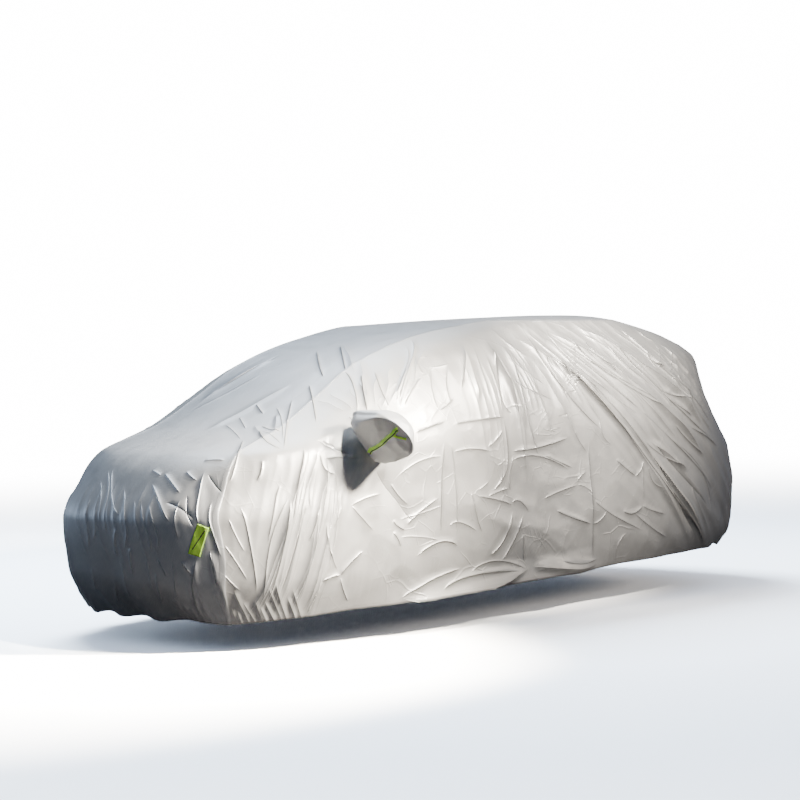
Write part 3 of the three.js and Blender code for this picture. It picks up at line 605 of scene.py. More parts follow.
# %% Crease tables
RISES = {1: 0.0022, 2: 0.0034, 3: 0.0050, 4: 0.0070}      # by size; a trough's is negative
SIDE_CREASES = [
    # size, from x and y, middle x and y, to x and y
    (4, 547, 355, 625, 430, 703, 545),
    (3, 661, 474, 684, 508, 703, 544),
    (3, 612, 342, 664, 394, 717, 445),
    (2, 562, 331, 612, 376, 672, 410),
    (-2, 544, 331, 589, 376, 642, 417),
    (3, 525, 334, 562, 387, 604, 432),
    (3, 642, 357, 680, 383, 713, 425),
    (2, 664, 432, 698, 466, 713, 489),
    (-2, 649, 440, 680, 474, 710, 511),
    (2, 510, 349, 525, 406, 540, 459),
    (-2, 491, 345, 502, 394, 513, 413),
    (3, 398, 598, 430, 580, 462, 568),
    (3, 440, 589, 472, 575, 520.5, 570),
    (2, 470, 573, 495, 561, 526, 569),
    (2, 560, 560, 580, 562, 596, 558),
    (3, 304, 448, 299, 480, 291, 528),
    (3, 291, 500, 283, 548, 266, 603),
    (2, 289, 498, 271, 540, 262, 600),
    (-3, 306, 507, 296, 540, 276, 600),
    (2, 318, 510, 314, 528, 309, 541),
    (2, 326, 522, 329, 547, 338, 570),
    (1, 341, 505, 337, 517, 333, 527),
    (2, 319, 452, 325, 468, 334, 473),
    (1, 315, 465, 309, 490, 311, 508),
    (2, 240, 506, 250, 542, 256, 595),
    (1, 228, 518, 236, 535, 245, 553),
    (1, 224, 545, 236, 562, 248, 581),
    (1, 225, 575, 232, 582, 240, 590),
    (3, 321, 581, 330, 577, 341, 575),
    (3, 341, 575, 350, 563.5, 364, 550),
    (2, 341, 578, 343, 590, 348, 601),
    (1, 319, 588, 313, 600, 306, 613),
    (2, 281, 485, 275, 508, 268, 545),
    (-2, 316, 440, 332, 446, 352, 456),
    (2, 325, 459, 340, 457, 358, 458),
    (2, 349, 416, 352, 420, 356, 426),
    (3, 360, 374, 364, 393, 368, 413),
    (2, 346, 372, 354, 388, 357, 418),
    (2, 374, 370, 381, 388, 389, 408),
    (3, 409, 340, 409, 368, 399, 402),
    (2, 404, 345, 404, 375, 397, 396),
    (2, 415, 356, 418, 366, 423, 374),
    (2, 421, 378, 412, 390, 404, 406),
    (1, 381, 494, 366, 498, 352, 506),
    (1, 352, 506, 362, 518, 373, 531),
    (2, 391, 484, 400, 495, 409, 504),
    (3, 393, 520, 398, 526, 406, 530),
    (3, 393, 533, 397, 538, 400, 546),
    (3, 444, 440, 442, 490, 441, 533),
    (2, 450, 442, 455, 480, 457, 538),
    (2, 415, 433, 430, 427, 444, 422),
    (2, 453, 424, 478, 420, 505, 416),
    (2, 453, 452, 472, 449, 492, 451),
    (2, 398, 476, 418, 462, 442, 456),
    (3, 503, 417, 507, 465, 493, 491),
    (2, 513, 456, 510, 475, 511, 490),
    (2, 511, 461, 538, 456, 570, 470),
    (3, 512, 451, 540, 447, 569, 437),
    (2, 488, 447, 496, 440, 503, 430),
    (1, 479, 490, 483, 486, 489, 482),
    (2, 489, 496, 498, 492, 509, 488),
    (2, 477, 496, 496, 499, 514, 505),
    (2, 471, 490, 476, 513, 483, 532),
    (2, 449, 526, 460, 522, 479, 531),
    (3, 407, 525, 421, 512, 439, 497),
    (1, 400, 520, 420, 514, 442, 505),
    (1, 400, 538, 420, 537, 441, 541),
    (3, 416, 557, 440, 542, 459, 546),
    (3, 490, 554, 504, 541, 513, 512),
    (3, 502, 561, 513, 544, 523, 516),
    (2, 523, 534, 524, 547, 524, 562),
    (2, 512, 503, 520, 501, 529, 512),
    (2, 463, 346, 465, 366, 461, 391),
    (1, 431, 368, 440, 366, 449, 364),
    (1, 431, 370, 432, 390, 438, 410),
    (1, 447, 366, 447, 388, 453, 405),
    (1, 474, 348.5, 481, 368, 490, 402),
    (2, 487, 357, 497, 384, 503, 414),
    (1, 439, 411, 447, 405, 454, 398),
    (2, 492, 329, 509, 344, 529, 358),
    (1, 508, 358, 524, 371, 546, 386),
    (1, 500, 369, 521, 386, 556, 401),
    (2, 527, 334, 549, 352, 569, 376),
    (1, 541, 346, 556, 376, 571, 406),
    (1, 548, 333, 590, 360, 631, 386),
    (2, 561, 345, 601, 376, 641, 411),
    (1, 577, 351, 615, 376, 651, 396),
    (2, 606, 345, 627, 366, 653, 387),
    (1, 641, 411, 668, 436, 700, 466),
    (3, 586, 342, 589, 347, 593, 353),
    (3, 632, 328, 643, 336, 655, 342),
    (2, 619, 329, 628, 337, 640, 345),
    (2, 645, 349, 649, 360, 656, 371),
    (2, 655, 384, 671, 394, 693, 399),
    (3, 667, 397, 680, 406, 692, 416),
    (2, 675, 424, 689, 440, 706, 456),
    (3, 689, 427, 703, 434, 718, 447),
    (2, 643, 440, 662, 455, 688, 468),
    (2, 671, 440, 703, 470, 711, 512),
    (2, 691, 484, 698, 506, 709, 531),
    (3, 616, 459, 626, 468, 636, 475),
    (2, 636, 475, 641, 470, 643, 461),
    (1, 643, 461, 643, 480, 644, 500),
    (1, 648, 465, 652, 480, 663, 488),
    (3, 557, 510, 574, 518, 592, 524),
    (2, 592, 524, 599, 521, 606, 511),
    (3, 589, 440, 592, 500, 592, 561),
    (2, 594, 500, 612, 515, 644, 531),
    (3, 622, 511, 633, 513, 643, 506),
    (2, 643, 506, 652, 510, 666, 514),
    (2, 634, 512, 650, 526, 668, 538),
    (2, 544, 499, 560, 491, 578, 485),
    (1, 578, 485, 585, 487, 593, 493),
    (2, 577, 481, 581, 476, 586, 471),
    (1, 575, 430, 579, 440, 588, 452),
    (1, 600, 420, 603, 435, 612, 445),
    (2, 545, 455, 558, 461, 573, 468),
    (1, 616, 561, 617, 545, 626, 533),
    (1, 655, 345, 660, 355, 656, 372),
    (1, 668, 347, 672, 360, 668, 375),
    (3, 677, 374, 683, 384, 692, 396),
]
TOP_CREASES = [
    # size, from x and y, middle x and y, to x and y
    (2, 340, 345, 343, 358, 347, 372),
    (2, 317, 350, 319, 365, 324, 377),
    (2, 309, 384, 313, 402, 316.5, 424),
    (2, 292, 399, 287, 425, 284, 449),
    (1, 276, 407, 282, 422, 283, 440),
    (2, 262, 426, 271, 430, 282, 432),
    (2, 260, 431, 265, 441, 281, 449),
    (1, 262, 431, 271, 436, 282, 444),
    (2, 257, 405, 259, 409, 264, 414),
    (-2, 281, 354, 245, 374, 205, 397.1),
    (1, 262, 374, 225, 394, 186, 414),
    (2, 243, 440, 238, 458, 229, 483),
    (1, 225, 425, 233, 431, 241, 440),
    (2, 204, 461, 213, 460, 225, 461),
    (2, 187, 471, 191, 476, 197, 480),
    (3, 165, 474, 171, 482, 180, 493),
    (2, 153, 470, 156, 473, 161, 475),
    (1, 240, 417, 243, 423, 246, 429),
    (3, 262, 460, 261, 470, 257, 481),
]
NOSE_CREASES = [
    # size, from x and y, middle x and y, to x and y
    (3, 205, 472, 199.5, 498, 199, 524),
    (-2, 208, 474, 214.5, 485, 222, 494),
    (3, 213, 500, 211.5, 529.5, 221, 557),
    (-2, 187, 495, 186.8, 512, 194, 528),
    (2, 180, 500, 174.8, 521, 178, 540),
    (3, 197, 560, 192.5, 590, 203, 618),
    (2, 210, 550, 213.5, 569, 218, 587),
    (2, 108, 470, 107, 500, 106, 536),
    (2, 113, 468, 112, 498, 119, 515),
    (2, 92, 495, 87, 525, 89, 551),
    (1, 97, 508, 95, 525, 93, 540),
    (2, 124, 488, 125, 520, 124, 551),
    (3, 117, 528, 115, 543, 118, 556),
    (3, 130, 548, 131, 560, 134, 577),
    (2, 141, 503, 146, 528, 151, 553),
    (2, 149, 503, 155, 527, 158, 551),
    (3, 152, 484, 160, 502, 169, 522),
    (-3, 166, 503, 180, 509, 194, 520),
    (1, 120, 556, 125, 578, 131, 602),
    (1, 146, 558, 149, 575, 153, 592),
    (2, 155, 573, 158, 588, 161, 606),
    (2, 158, 558, 162, 567, 167, 577),
    (1, 92, 568, 94, 580, 95.8, 592),
    (1, 113, 578, 115, 590, 118, 603),
    (3, 182, 562, 187, 569, 193, 576),
    (1, 100, 480, 101, 500, 100, 525),
    (1, 134, 500, 136, 520, 140, 545),
    (1, 172, 560, 175, 580, 178, 600),
]
SIDE_ROWS = placed_rows(SIDE_CREASES, [0, 2])
TOP_ROWS = placed_rows(TOP_CREASES, [0, 1])
NOSE_ROWS = placed_rows(NOSE_CREASES, [1, 2])
print(len(SIDE_CREASES), "creases on a side,", len(TOP_CREASES), "on the top,",
      len(NOSE_CREASES), "on the nose")


# %% Families of finer folds
def roof_edge_fan(random):
    """Fine folds that hang from the roof's edge, and lean ever more towards the tail."""
    rows = []
    for x in np.linspace(1.15, -0.45, 34):
        x = x + random.normal() * 0.02
        lean = math.radians(4 + 46 * float(smooth(1.05, 0.30, x)))
        length = random.uniform(0.30, 0.85)
        top = random.uniform(1.30, 1.47)
        rows.append((x, top, x - length * math.sin(lean), top - length * math.cos(lean),
                     random.normal() * 0.015, random.uniform(0.003, 0.008),
                     random.uniform(0.012, 0.022), random.uniform(-0.3, 0.4)))
    return rows


def front_fan(random):
    """Folds between the mirror pouch and the gathered front corner of the hem."""
    rows = []
    for t in np.linspace(0, 1, 13):
        foot = 2.20 + 0.29 * t + random.normal() * 0.008
        head = 1.99 + 0.24 * t + random.normal() * 0.02
        top = random.uniform(0.55, 0.93)
        x = foot + (head - foot) * (top - 0.16) / (0.93 - 0.16)
        rows.append((x, top, foot, 0.155, random.normal() * 0.014,
                     random.uniform(0.002, 0.006), random.uniform(0.010, 0.018),
                     random.uniform(-0.3, 0.4)))
    return rows


def screen_edge_fan(random):
    """Short folds from the windscreen's edge down to the mirror pouch."""
    rows = []
    for t in np.linspace(0, 1, 9):
        x = 1.30 + 0.62 * t
        height = 1.385 - 0.235 * t
        rows.append((x, height, 1.62 + 0.27 * t, 1.115 - 0.02 * t, random.normal() * 0.01,
                     random.uniform(0.002, 0.004), random.uniform(0.010, 0.016),
                     random.uniform(-0.3, 0.3)))
    return rows


def hem_pleats(random, first, last, rise):
    """Short pleats where the hem's elastic gathers the cloth; a is a turn of the section."""
    rows = []
    turn = first
    while turn < last:
        height = float(hem_height(section_point(np.array(0.15), turn)[0]))
        rows.append((turn, height - 0.01, turn + random.normal() * 0.01,
                     height + random.uniform(0.06, 0.19), rise * random.uniform(0.6, 1.2),
                     random.uniform(0.010, 0.017)))
        turn += random.uniform(0.022, 0.050)
    return rows


# %% [markdown]
# Crumpled film is nearly flat between sharp ridges. Cells scattered through space give
# that: each cell is a shallow bowl with a tilt of its own, and where two bowls meet they
# leave a ridge. Long cells give the pull folds of the fans, and square ones the crumple.

# %% Facets
TABLE_SIDE = 32
CELL_TABLE = np.random.default_rng(77).random((TABLE_SIDE ** 3, 6))


def cell_values(cells, seed):
    wrapped = (cells + seed * 5) & (TABLE_SIDE - 1)
    return CELL_TABLE[(wrapped[..., 0] * TABLE_SIDE + wrapped[..., 1]) * TABLE_SIDE
                      + wrapped[..., 2]]


def soft_noise(points, size, seed):
    """Smooth noise from -1 to 1."""
    q = points / size
    base = np.floor(q).astype(np.int64)
    t = q - base
    t = t * t * (3 - 2 * t)
    total = np.zeros(len(q))
    for i in range(8):
        corner = np.array([i >> 2, (i >> 1) & 1, i & 1])
        weight = np.prod(np.where(corner, t, 1 - t), axis=1)
        total += weight * (cell_values(base + corner, seed)[:, 0] * 2 - 1)
    return total


def facets(points, along, across, sizes, seed, tilt=0.55):
    """Bowls that meet in ridges. along and across are directions of the cells."""
    along = np.array(along, float) / np.linalg.norm(along)
    third = np.cross(along, np.array(across, float))
    third /= np.linalg.norm(third)
    axes = np.stack([along, np.cross(third, along), third])
    q = points @ axes.T / np.array(sizes)
    base = np.floor(q).astype(np.int64)
    best = np.full(len(q), np.inf)
    for i in range(27):
        cell = base + np.array([i // 9 - 1, (i // 3) % 3 - 1, i % 3 - 1])
        value = cell_values(cell, seed)
        off = q - cell - value[:, :3]
        bowl = np.einsum("ij,ij->i", off, off + tilt * (value[:, 3:] - 0.5))
        best = np.minimum(best, bowl)
    return best - 0.32


def band(low, high, value, blend):
    """1 between low and high, fading to 0 over blend on both sides."""
    return smooth(low - blend, low + blend, value) * (1 - smooth(high - blend, high + blend,
                                                                 value))


# along and across are directions; long, wide and deep are the sizes of the cells in
# metres; rise is the height of their ridges; region names where they show.
FIELDS = [
    # region, along, across, long, wide, deep, rise
    ("rear_fan", (-0.74, 0, -0.67), (-0.67, 0, 0.74), 0.85, 0.115, 0.60, 0.0220),
    ("rear_fan", (-0.70, 0, -0.71), (-0.71, 0, 0.70), 0.38, 0.052, 0.60, 0.0105),
    ("roof_edge", (0.10, 0, -1.00), (1.00, 0, 0.10), 0.50, 0.085, 0.50, 0.0090),
    ("roof_edge", (0.02, 0, -1.00), (1.00, 0, 0.02), 0.22, 0.036, 0.50, 0.0030),
    ("screen_edge", (0.80, 0, -0.60), (0.60, 0, 0.80), 0.42, 0.070, 0.50, 0.0050),
    ("screen_edge", (0.76, 0, -0.65), (0.65, 0, 0.76), 0.18, 0.032, 0.50, 0.0018),
    ("front_fan", (0.26, 0, -0.97), (0.97, 0, 0.26), 0.65, 0.080, 0.60, 0.0080),
    ("front_fan", (0.32, 0, -0.95), (0.95, 0, 0.32), 0.28, 0.034, 0.60, 0.0046),
    ("middle", (1.00, 0, 0.30), (-0.30, 0, 1.00), 0.30, 0.20, 0.50, 0.0185),
    ("middle", (0.80, 0, 0.60), (-0.60, 0, 0.80), 0.15, 0.11, 0.50, 0.0062),
    ("nose", (0, 0.42, -0.91), (0, 0.91, 0.42), 0.42, 0.075, 0.50, 0.0034),
    ("nose", (0, 0.36, -0.93), (0, 0.93, 0.36), 0.24, 0.036, 0.50, 0.0018),
    ("top", (0.95, -0.30, 0), (0.30, 0.95, 0), 0.90, 0.34, 0.60, 0.0070),
    ("top", (0.90, -0.44, 0), (0.44, 0.90, 0), 0.30, 0.12, 0.60, 0.0012),
    ("tail", (0, 0.12, -1.00), (0, 1.00, 0.12), 0.50, 0.085, 0.50, 0.0143),
    ("tail", (0, -0.20, -1.00), (0, 1.00, -0.20), 0.16, 0.060, 0.50, 0.0035),
    ("spoiler", (0.20, 0.40, -0.90), (-0.90, 0.40, 0.20), 0.13, 0.075, 0.20, 0.0210),
    ("corner", (0.10, 0.25, -0.95), (-0.60, 0.75, 0.25), 0.20, 0.060, 0.30, 0.0130),
]


def regions(points, normals):
    """How strongly each region's facets show at each point."""
    x, y, z = points.T
    n_x, n_y, n_z = normals[:, 0], np.abs(normals[:, 1]), normals[:, 2]
    side = smooth(0.25, 0.60, n_y) * (1 - smooth(0.75, 0.95, n_z))
    top = smooth(0.45, 0.85, n_z)
    nose = smooth(0.35, 0.75, n_x) * (1 - top)
    tail = smooth(0.45, 0.80, -n_x) * (1 - top)
    spoiler = np.exp(-(((x + 0.58) / 0.22) ** 2 + ((np.abs(y) - 0.78) / 0.20) ** 2
                       + ((z - 1.16) / 0.22) ** 2))
    corner = np.exp(-(((x - 2.62) / 0.10) ** 2 + ((np.abs(y) - 0.545) / 0.10) ** 2
                      + ((z - 0.66) / 0.17) ** 2))
    diagonal = (x - 0.10) - (z - 0.95)
    rear = side * (1 - smooth(-0.15, 0.45, diagonal)) * (1 - 0.6 * tail)
    return {
        "rear_fan": rear,
        "roof_edge": side * smooth(0.85, 1.20, z) * band(0.45, 1.55, x, 0.20),
        "screen_edge": side * smooth(0.90, 1.08, z) * band(1.42, 2.00, x, 0.14),
        "front_fan": side * band(1.88, 2.62, x, 0.16) * (1 - smooth(0.86, 1.02, z)),
        "middle": side * smooth(-0.10, 0.50, diagonal) * (1 - smooth(1.65, 2.05, x))
                  * (1 - 0.75 * smooth(0.95, 1.25, z)),
        "nose": nose,
        "top": top,
        "tail": tail,
        "spoiler": spoiler,
        "corner": corner,
    }


def crumple(points, normals):
    """The facets of all the regions, with stretches where the cloth lies calm."""
    bend = np.stack([soft_noise(points, 0.22, 31 + k) for k in range(3)], axis=1)
    bent = points + 0.030 * bend
    height = np.zeros(len(points))
    shares = regions(points, normals)
    for k, (region, along, across, long, wide, deep, rise) in enumerate(FIELDS):
        share = shares[region]
        shown = np.nonzero(share > 0.01)[0]
        if len(shown) == 0:
            continue
        calm = smooth(-0.55, 0.35, soft_noise(points[shown], max(wide * 4, 0.12), 60 + k))
        height[shown] += (rise * share[shown] * (0.35 + 0.65 * calm)
                          * facets(bent[shown], along, across, (long, wide, deep), k + 1))
    return height


print(len(FIELDS), "fields of facets")

# %% [markdown]
# ## All the relief in one place
# The panels meet at their seams, so one rule gives the height of the cloth at any point of
# the form, whichever panel it lies in. It adds up the folds, the crumple, the waves and
# pleats of the gathered hem, the flare of the hem between the wheels and the tent that
# each mirror pouch pulls up round itself.

# %% Lines of every fold
POUCH = {"x": 1.850, "height": 0.945, "hole": (0.0595, 0.0655), "corner": 2.4}
TENT = {"rise": 0.016, "reach": 0.17}
GATHER = {"pitch": 0.285, "depth": 0.013, "fade": 0.15, "length_share": 0.6,
          "front": (1.95, 2.35), "rear": (0.70, 1.00)}
FLARE = {"rise": 0.034, "from": (0.10, 0.55), "to": (1.55, 2.05), "roll": 0.115}


SEAM_RIDGE = {"rise": 0.008, "reach": 0.045}
SEAM_COARSE = even_path(seam, 0.05)


def fold_line(place, row, seed, stray):
    a, b, to_a, to_b, bow = row[:5]
    return crest(place, a, b, to_a, to_b, bow=bow, stray=stray, seed=seed)


def side_folds(seed, shift=0.0, change=0.0):
    """Lines, rise, width and lean of all the folds of one side, drawn on the left side."""
    random = np.random.default_rng(seed)
    made = []
    for k, row in enumerate(SIDE_PULLS):
        moved = (row[0] + shift * random.normal(), row[1],
                 row[2] + shift * random.normal(), row[3], row[4])
        rise = row[5] * (1 + change * random.normal())
        made.append((fold_line(on_side, moved, seed + k, 0.008), rise, row[6], row[7]))
    fans = roof_edge_fan(random) + front_fan(random) + screen_edge_fan(random)
    for k, row in enumerate(fans):
        made.append((fold_line(on_side, row, seed + 100 + k, 0.006), row[5], row[6], row[7]))
    turns = lambda turn, height: section_point(height, turn)
    for k, row in enumerate(hem_pleats(random, 0.20, 0.86, 0.005)
                            + hem_pleats(random, 2.62, 3.02, 0.005)):
        made.append((fold_line(turns, (row[0], row[1], row[2], row[3], 0.0), seed + 300 + k,
                               0.0), row[4], row[5], 0.0))
    return made


def end_folds():
    made = []
    for place, table in ((lambda y, h: on_end(y, h, 1), NOSE_PULLS),
                         (on_top, TOP_PULLS),
                         (lambda y, h: on_end(y, h, -1), TAIL_PULLS)):
        for k, row in enumerate(table):
            made.append((fold_line(place, row, 700 + k, 0.004), row[5], row[6], row[7]))
    return made


LEFT_FOLDS = side_folds(11)
RIGHT_FOLDS = side_folds(47, shift=0.035, change=0.25)
END_FOLDS = end_folds()
print(len(LEFT_FOLDS), "folds on the left,", len(RIGHT_FOLDS), "on the right,",
      len(END_FOLDS), "on the ends and top")


# %% The height of the cloth over the form
def add_folds(height, points, normals, folds):
    for line, rise, width, lean in folds:
        height += fold_height(points, normals, line, rise, width, lean=lean)


def relief(points, normals):
    """How far out the cloth lies from the form at each point."""
    x, y, z = points.T
    height = crumple(points, normals)
    add_folds(height, points, normals, END_FOLDS)
    for folds, side in ((LEFT_FOLDS, 1), (RIGHT_FOLDS, -1)):
        mine = np.nonzero(side * y > 0.25)[0]
        mirrored = points[mine] * (1, side, 1)
        part = np.zeros(len(mine))
        add_folds(part, mirrored, normals[mine] * (1, side, 1), folds)
        height[mine] += part
    above = np.maximum(z - hem_height(x), 0.0)
    gathered = smooth(*GATHER["front"], x) + smooth(*GATHER["rear"], -x)
    around = y + GATHER["length_share"] * x
    height += (GATHER["depth"] * gathered * np.exp(-above / GATHER["fade"])
               * np.sin(2 * math.pi * around / GATHER["pitch"]))
    flare = smooth(*FLARE["from"], x) * (1 - smooth(*FLARE["to"], x))
    low = np.clip(1 - above / FLARE["roll"], 0, 1)
    height += FLARE["rise"] * flare * low ** 1.3
    seam_off = np.full(len(points), 1.0)
    close = np.nonzero(np.abs(y) > 0.35)[0]
    beside = points[close] * np.stack([np.ones(len(close)), np.sign(y[close]),
                                       np.ones(len(close))], axis=1)
    seam_off[close] = nearest_on(SEAM_COARSE, beside, normals[close])[0]
    height += SEAM_RIDGE["rise"] * np.exp(-seam_off / SEAM_RIDGE["reach"])
    away = np.sqrt((x - POUCH["x"]) ** 2 + (z - POUCH["height"]) ** 2 + (np.abs(y) - 0.88) ** 2)
    height += TENT["rise"] * np.exp(-(away / TENT["reach"]) ** 2)
    return height


def lay(points, extra=0.0):
    """Lays cloth on the form: moves form points out along their normals by the relief."""
    flat = points.reshape(-1, 3)
    normals = form_normals(flat)
    laid = flat + normals * (relief(flat, normals) + extra)[:, None]
    return laid.reshape(points.shape), normals.reshape(points.shape)


# %% [markdown]
# ## Sharp creases
# A crease in thin film is a few millimetres across, finer than the grids. So each point of
# the cloth carries how far off the crease it lies, counted in crease widths and with a sign
# for the side, and how high the crease stands there. The shader draws the crease between
# the points from those two numbers. Creases near each other lie in different layers. The
# placed creases also swell the cloth a little, as low folds.

# %% Layers of creases
CREASE_GROUPS = 7          # of three layers each, the three parts of a vector
CREASES_APART = 0.092
CREASE_REACH = (0.020, 0.030)
CREASE_KNOWN = 0.045
FAR_OFF = 20.0


def into_layers(creases):
    """Sorts creases into layers, so those in one layer keep clear of each other."""
    layers = [[] for _ in range(CREASE_GROUPS * 3)]
    left_out = 0
    for line, rise, width in creases:
        fine = even_path(line, 0.02)
        for layer in layers:
            gaps = (np.abs(fine[:, None] - other[None]).max(axis=2).min()
                    for other, _ in layer)
            if all(gap > CREASES_APART for gap in gaps):
                layer.append((fine, (line, rise, width)))
                break
        else:
            left_out += 1
    print(len(creases), "creases,", left_out, "left out for lack of a layer")
    return [[crease for _, crease in layer] for layer in layers]


def crease_values(points, normals, layers):
    """How far off its crease each point lies, and the crease's height there, by layer."""
    off = np.full((len(points), len(layers)), FAR_OFF)
    rises = np.zeros((len(points), len(layers)))
    for k, layer in enumerate(layers):
        for line, rise, width in layer:
            low, high = line.min(0) - CREASE_KNOWN, line.max(0) + CREASE_KNOWN
            near = np.nonzero(np.all((points > low) & (points < high), axis=1))[0]
            if len(near) == 0:
                continue
            distance, sign, along = nearest_on(line, points[near], normals[near])
            known = distance < CREASE_KNOWN
            near, distance, sign, along = (v[known] for v in (near, distance, sign, along))
            off[near, k] = sign * distance / width
            ends = smooth(0, 0.16, along) * smooth(0, 0.16, 1 - along)
            rises[near, k] = rise * ends * (1 - smooth(*CREASE_REACH, distance))
    return off, rises


def write_creases(piece, off, rises):
    for group in range(CREASE_GROUPS):
        for word, values in (("off", off), ("rise", rises)):
            attribute = piece.data.attributes.new(f"crease_{word}_{group}", "FLOAT_VECTOR",
                                                  "POINT")
            block = values[:, group * 3:group * 3 + 3]
            attribute.data.foreach_set("vector", np.ascontiguousarray(block).ravel())


CREASE_WIDTH = 0.0045
SWELL = {"share": 0.40, "width": 0.0115}     # the cloth's own swelling under a crease


def bent_line(place, row, shift, random, steps=12):
    """A curve through the three points of a crease's row."""
    moved = [v + shift * random.normal() for v in row[:6]]
    start, middle, end = (np.array(moved[k:k + 2]) for k in (0, 2, 4))
    control = 2 * middle - (start + end) / 2
    t = np.linspace(0, 1, steps + 1)[:, None]
    at = start * (1 - t) ** 2 + 2 * control * t * (1 - t) + end * t * t
    return place(at[:, 0], at[:, 1])


def placed_creases(place, table, seed, shift=0.0, change=0.0, strength=1.3):
    """The creases of one table: the higher a crease, the wider."""
    random = np.random.default_rng(seed)
    made = []
    for row in table:
        line = bent_line(place, row, shift, random)
        rise = strength * row[6] * (1 + change * random.normal())
        made.append((line, rise, CREASE_WIDTH + 0.3 * abs(rise)))
    return made


def creases_of(folds, share, least):
    """A crease along the top of each fold, in proportion to it."""
    return [(line, math.copysign(least + share * abs(rise), rise), CREASE_WIDTH)
            for line, rise, *_ in folds]


END_PLACED = (placed_creases(lambda y, h: on_end(y, h, 1), NOSE_ROWS, 5, strength=1.6)
              + placed_creases(on_top, TOP_ROWS, 6, strength=1.6))
LEFT_PLACED = placed_creases(on_side, SIDE_ROWS, 7, strength=1.6)
RIGHT_PLACED = placed_creases(on_side, SIDE_ROWS, 8, 0.03, 0.3, strength=1.6)
END_CREASES = END_PLACED + creases_of(END_FOLDS, 0.08, 0.0006)
LEFT_CREASES = LEFT_PLACED + creases_of(LEFT_FOLDS, 0.13, 0.0010)
RIGHT_CREASES = RIGHT_PLACED + creases_of(RIGHT_FOLDS, 0.13, 0.0010)
for folds, placed in ((END_FOLDS, END_PLACED), (LEFT_FOLDS, LEFT_PLACED),
                      (RIGHT_FOLDS, RIGHT_PLACED)):
    folds += [(line, rise * SWELL["share"], SWELL["width"], 0.0) for line, rise, _ in placed]
LEFT_LAYERS = into_layers(LEFT_CREASES + END_CREASES)
RIGHT_LAYERS = into_layers([(line * (1, -1, 1), rise, width)
                            for line, rise, width in RIGHT_CREASES] + END_CREASES)

# %% [markdown]
# ## Materials
# The cloth is woven polyester with an aluminium coating, so it is half a metal: it throws
# back a broad sheen, and its colour is that of its surroundings, made dull. It comes in two
# copies that differ only in tone: a lighter one on the side panels, painted light where
# they are lit, and a darker, bluer one on the top and the pouches, painted shade. The film
# creases into fine facets that no fold table can hold, so a bump gives those.

# %% Node recipes
def noise(tree, place, scale, detail, roughness=0.5):
    return add_node(tree, "ShaderNodeTexNoise",
                    {"Vector": place, "Scale": scale, "Detail": detail,
                     "Roughness": roughness}).outputs


def spread(tree, value, low, high, to_low, to_high):
    return add_node(tree, "ShaderNodeMapRange",
                    {"Value": value, "From Min": low, "From Max": high, "To Min": to_low,
                     "To Max": to_high}).outputs["Result"]


def number(tree, operation, *values):
    return add_node(tree, "ShaderNodeMath", dict(enumerate(values)),
                    operation=operation).outputs["Value"]


def vector(tree, operation, *values, out="Vector"):
    return add_node(tree, "ShaderNodeVectorMath", dict(enumerate(values)),
                    operation=operation).outputs[out]


def bump(tree, height, distance, strength, normal=None):
    inputs = {"Height": height, "Distance": distance, "Strength": strength}
    if normal is not None:
        inputs["Normal"] = normal
    return add_node(tree, "ShaderNodeBump", inputs).outputs["Normal"]


def give_surface(tree, colour, metallic, roughness, normal):
    shader = add_node(tree, "ShaderNodeBsdfPrincipled",
                      {"Base Color": colour, "Metallic": metallic, "Roughness": roughness,
                       "Normal": normal})
    add_node(tree, "ShaderNodeOutputMaterial", {"Surface": shader.outputs["BSDF"]})


# %% Cloth, tape and thread
NETWORKS = [
    # cells per metre, width in cells, rise, stretches shown from, to
    (4.6, 0.034, 0.0019, 0.50, 0.62),
    (9.0, 0.050, 0.0012, 0.50, 0.62),
]


def crease_relief(tree):
    """The creases the cloth's points carry: rise / (1 + distance) squared, added up."""
    total = 0.0
    for group in range(CREASE_GROUPS):
        off, rise = (add_node(tree, "ShaderNodeAttribute",
                              attribute_name=f"crease_{word}_{group}").outputs["Vector"]
                     for word in ("off", "rise"))
        more = vector(tree, "ADD", vector(tree, "ABSOLUTE", off), (1, 1, 1))
        profile = vector(tree, "DIVIDE", rise, vector(tree, "MULTIPLY", more, more))
        total = number(tree, "ADD", total,
                       vector(tree, "DOT_PRODUCT", profile, (1, 1, 1), out="Value"))
    return total


def network_relief(tree, place):
    """Creases left by packing: the edges of cells, shown only here and there."""
    bent = vector(tree, "MULTIPLY_ADD", noise(tree, place, 4.0, 2.0)["Color"],
                  (0.10, 0.10, 0.10), place)
    total = 0.0
    for k, (scale, width, rise, low, high) in enumerate(NETWORKS):
        cells = add_node(tree, "ShaderNodeTexVoronoi", {"Scale": scale, "Vector": bent},
                         feature="DISTANCE_TO_EDGE")
        ridge = spread(tree, cells.outputs["Distance"], 0.0, width, 1.0, 0.0)
        where = noise(tree, place, 3.4 + 1.3 * k, 2.0)["Fac"]
        value = number(tree, "MULTIPLY", number(tree, "POWER", ridge, 1.6),
                       spread(tree, where, low, high, 0.0, rise))
        total = number(tree, "ADD", total, value)
    return total


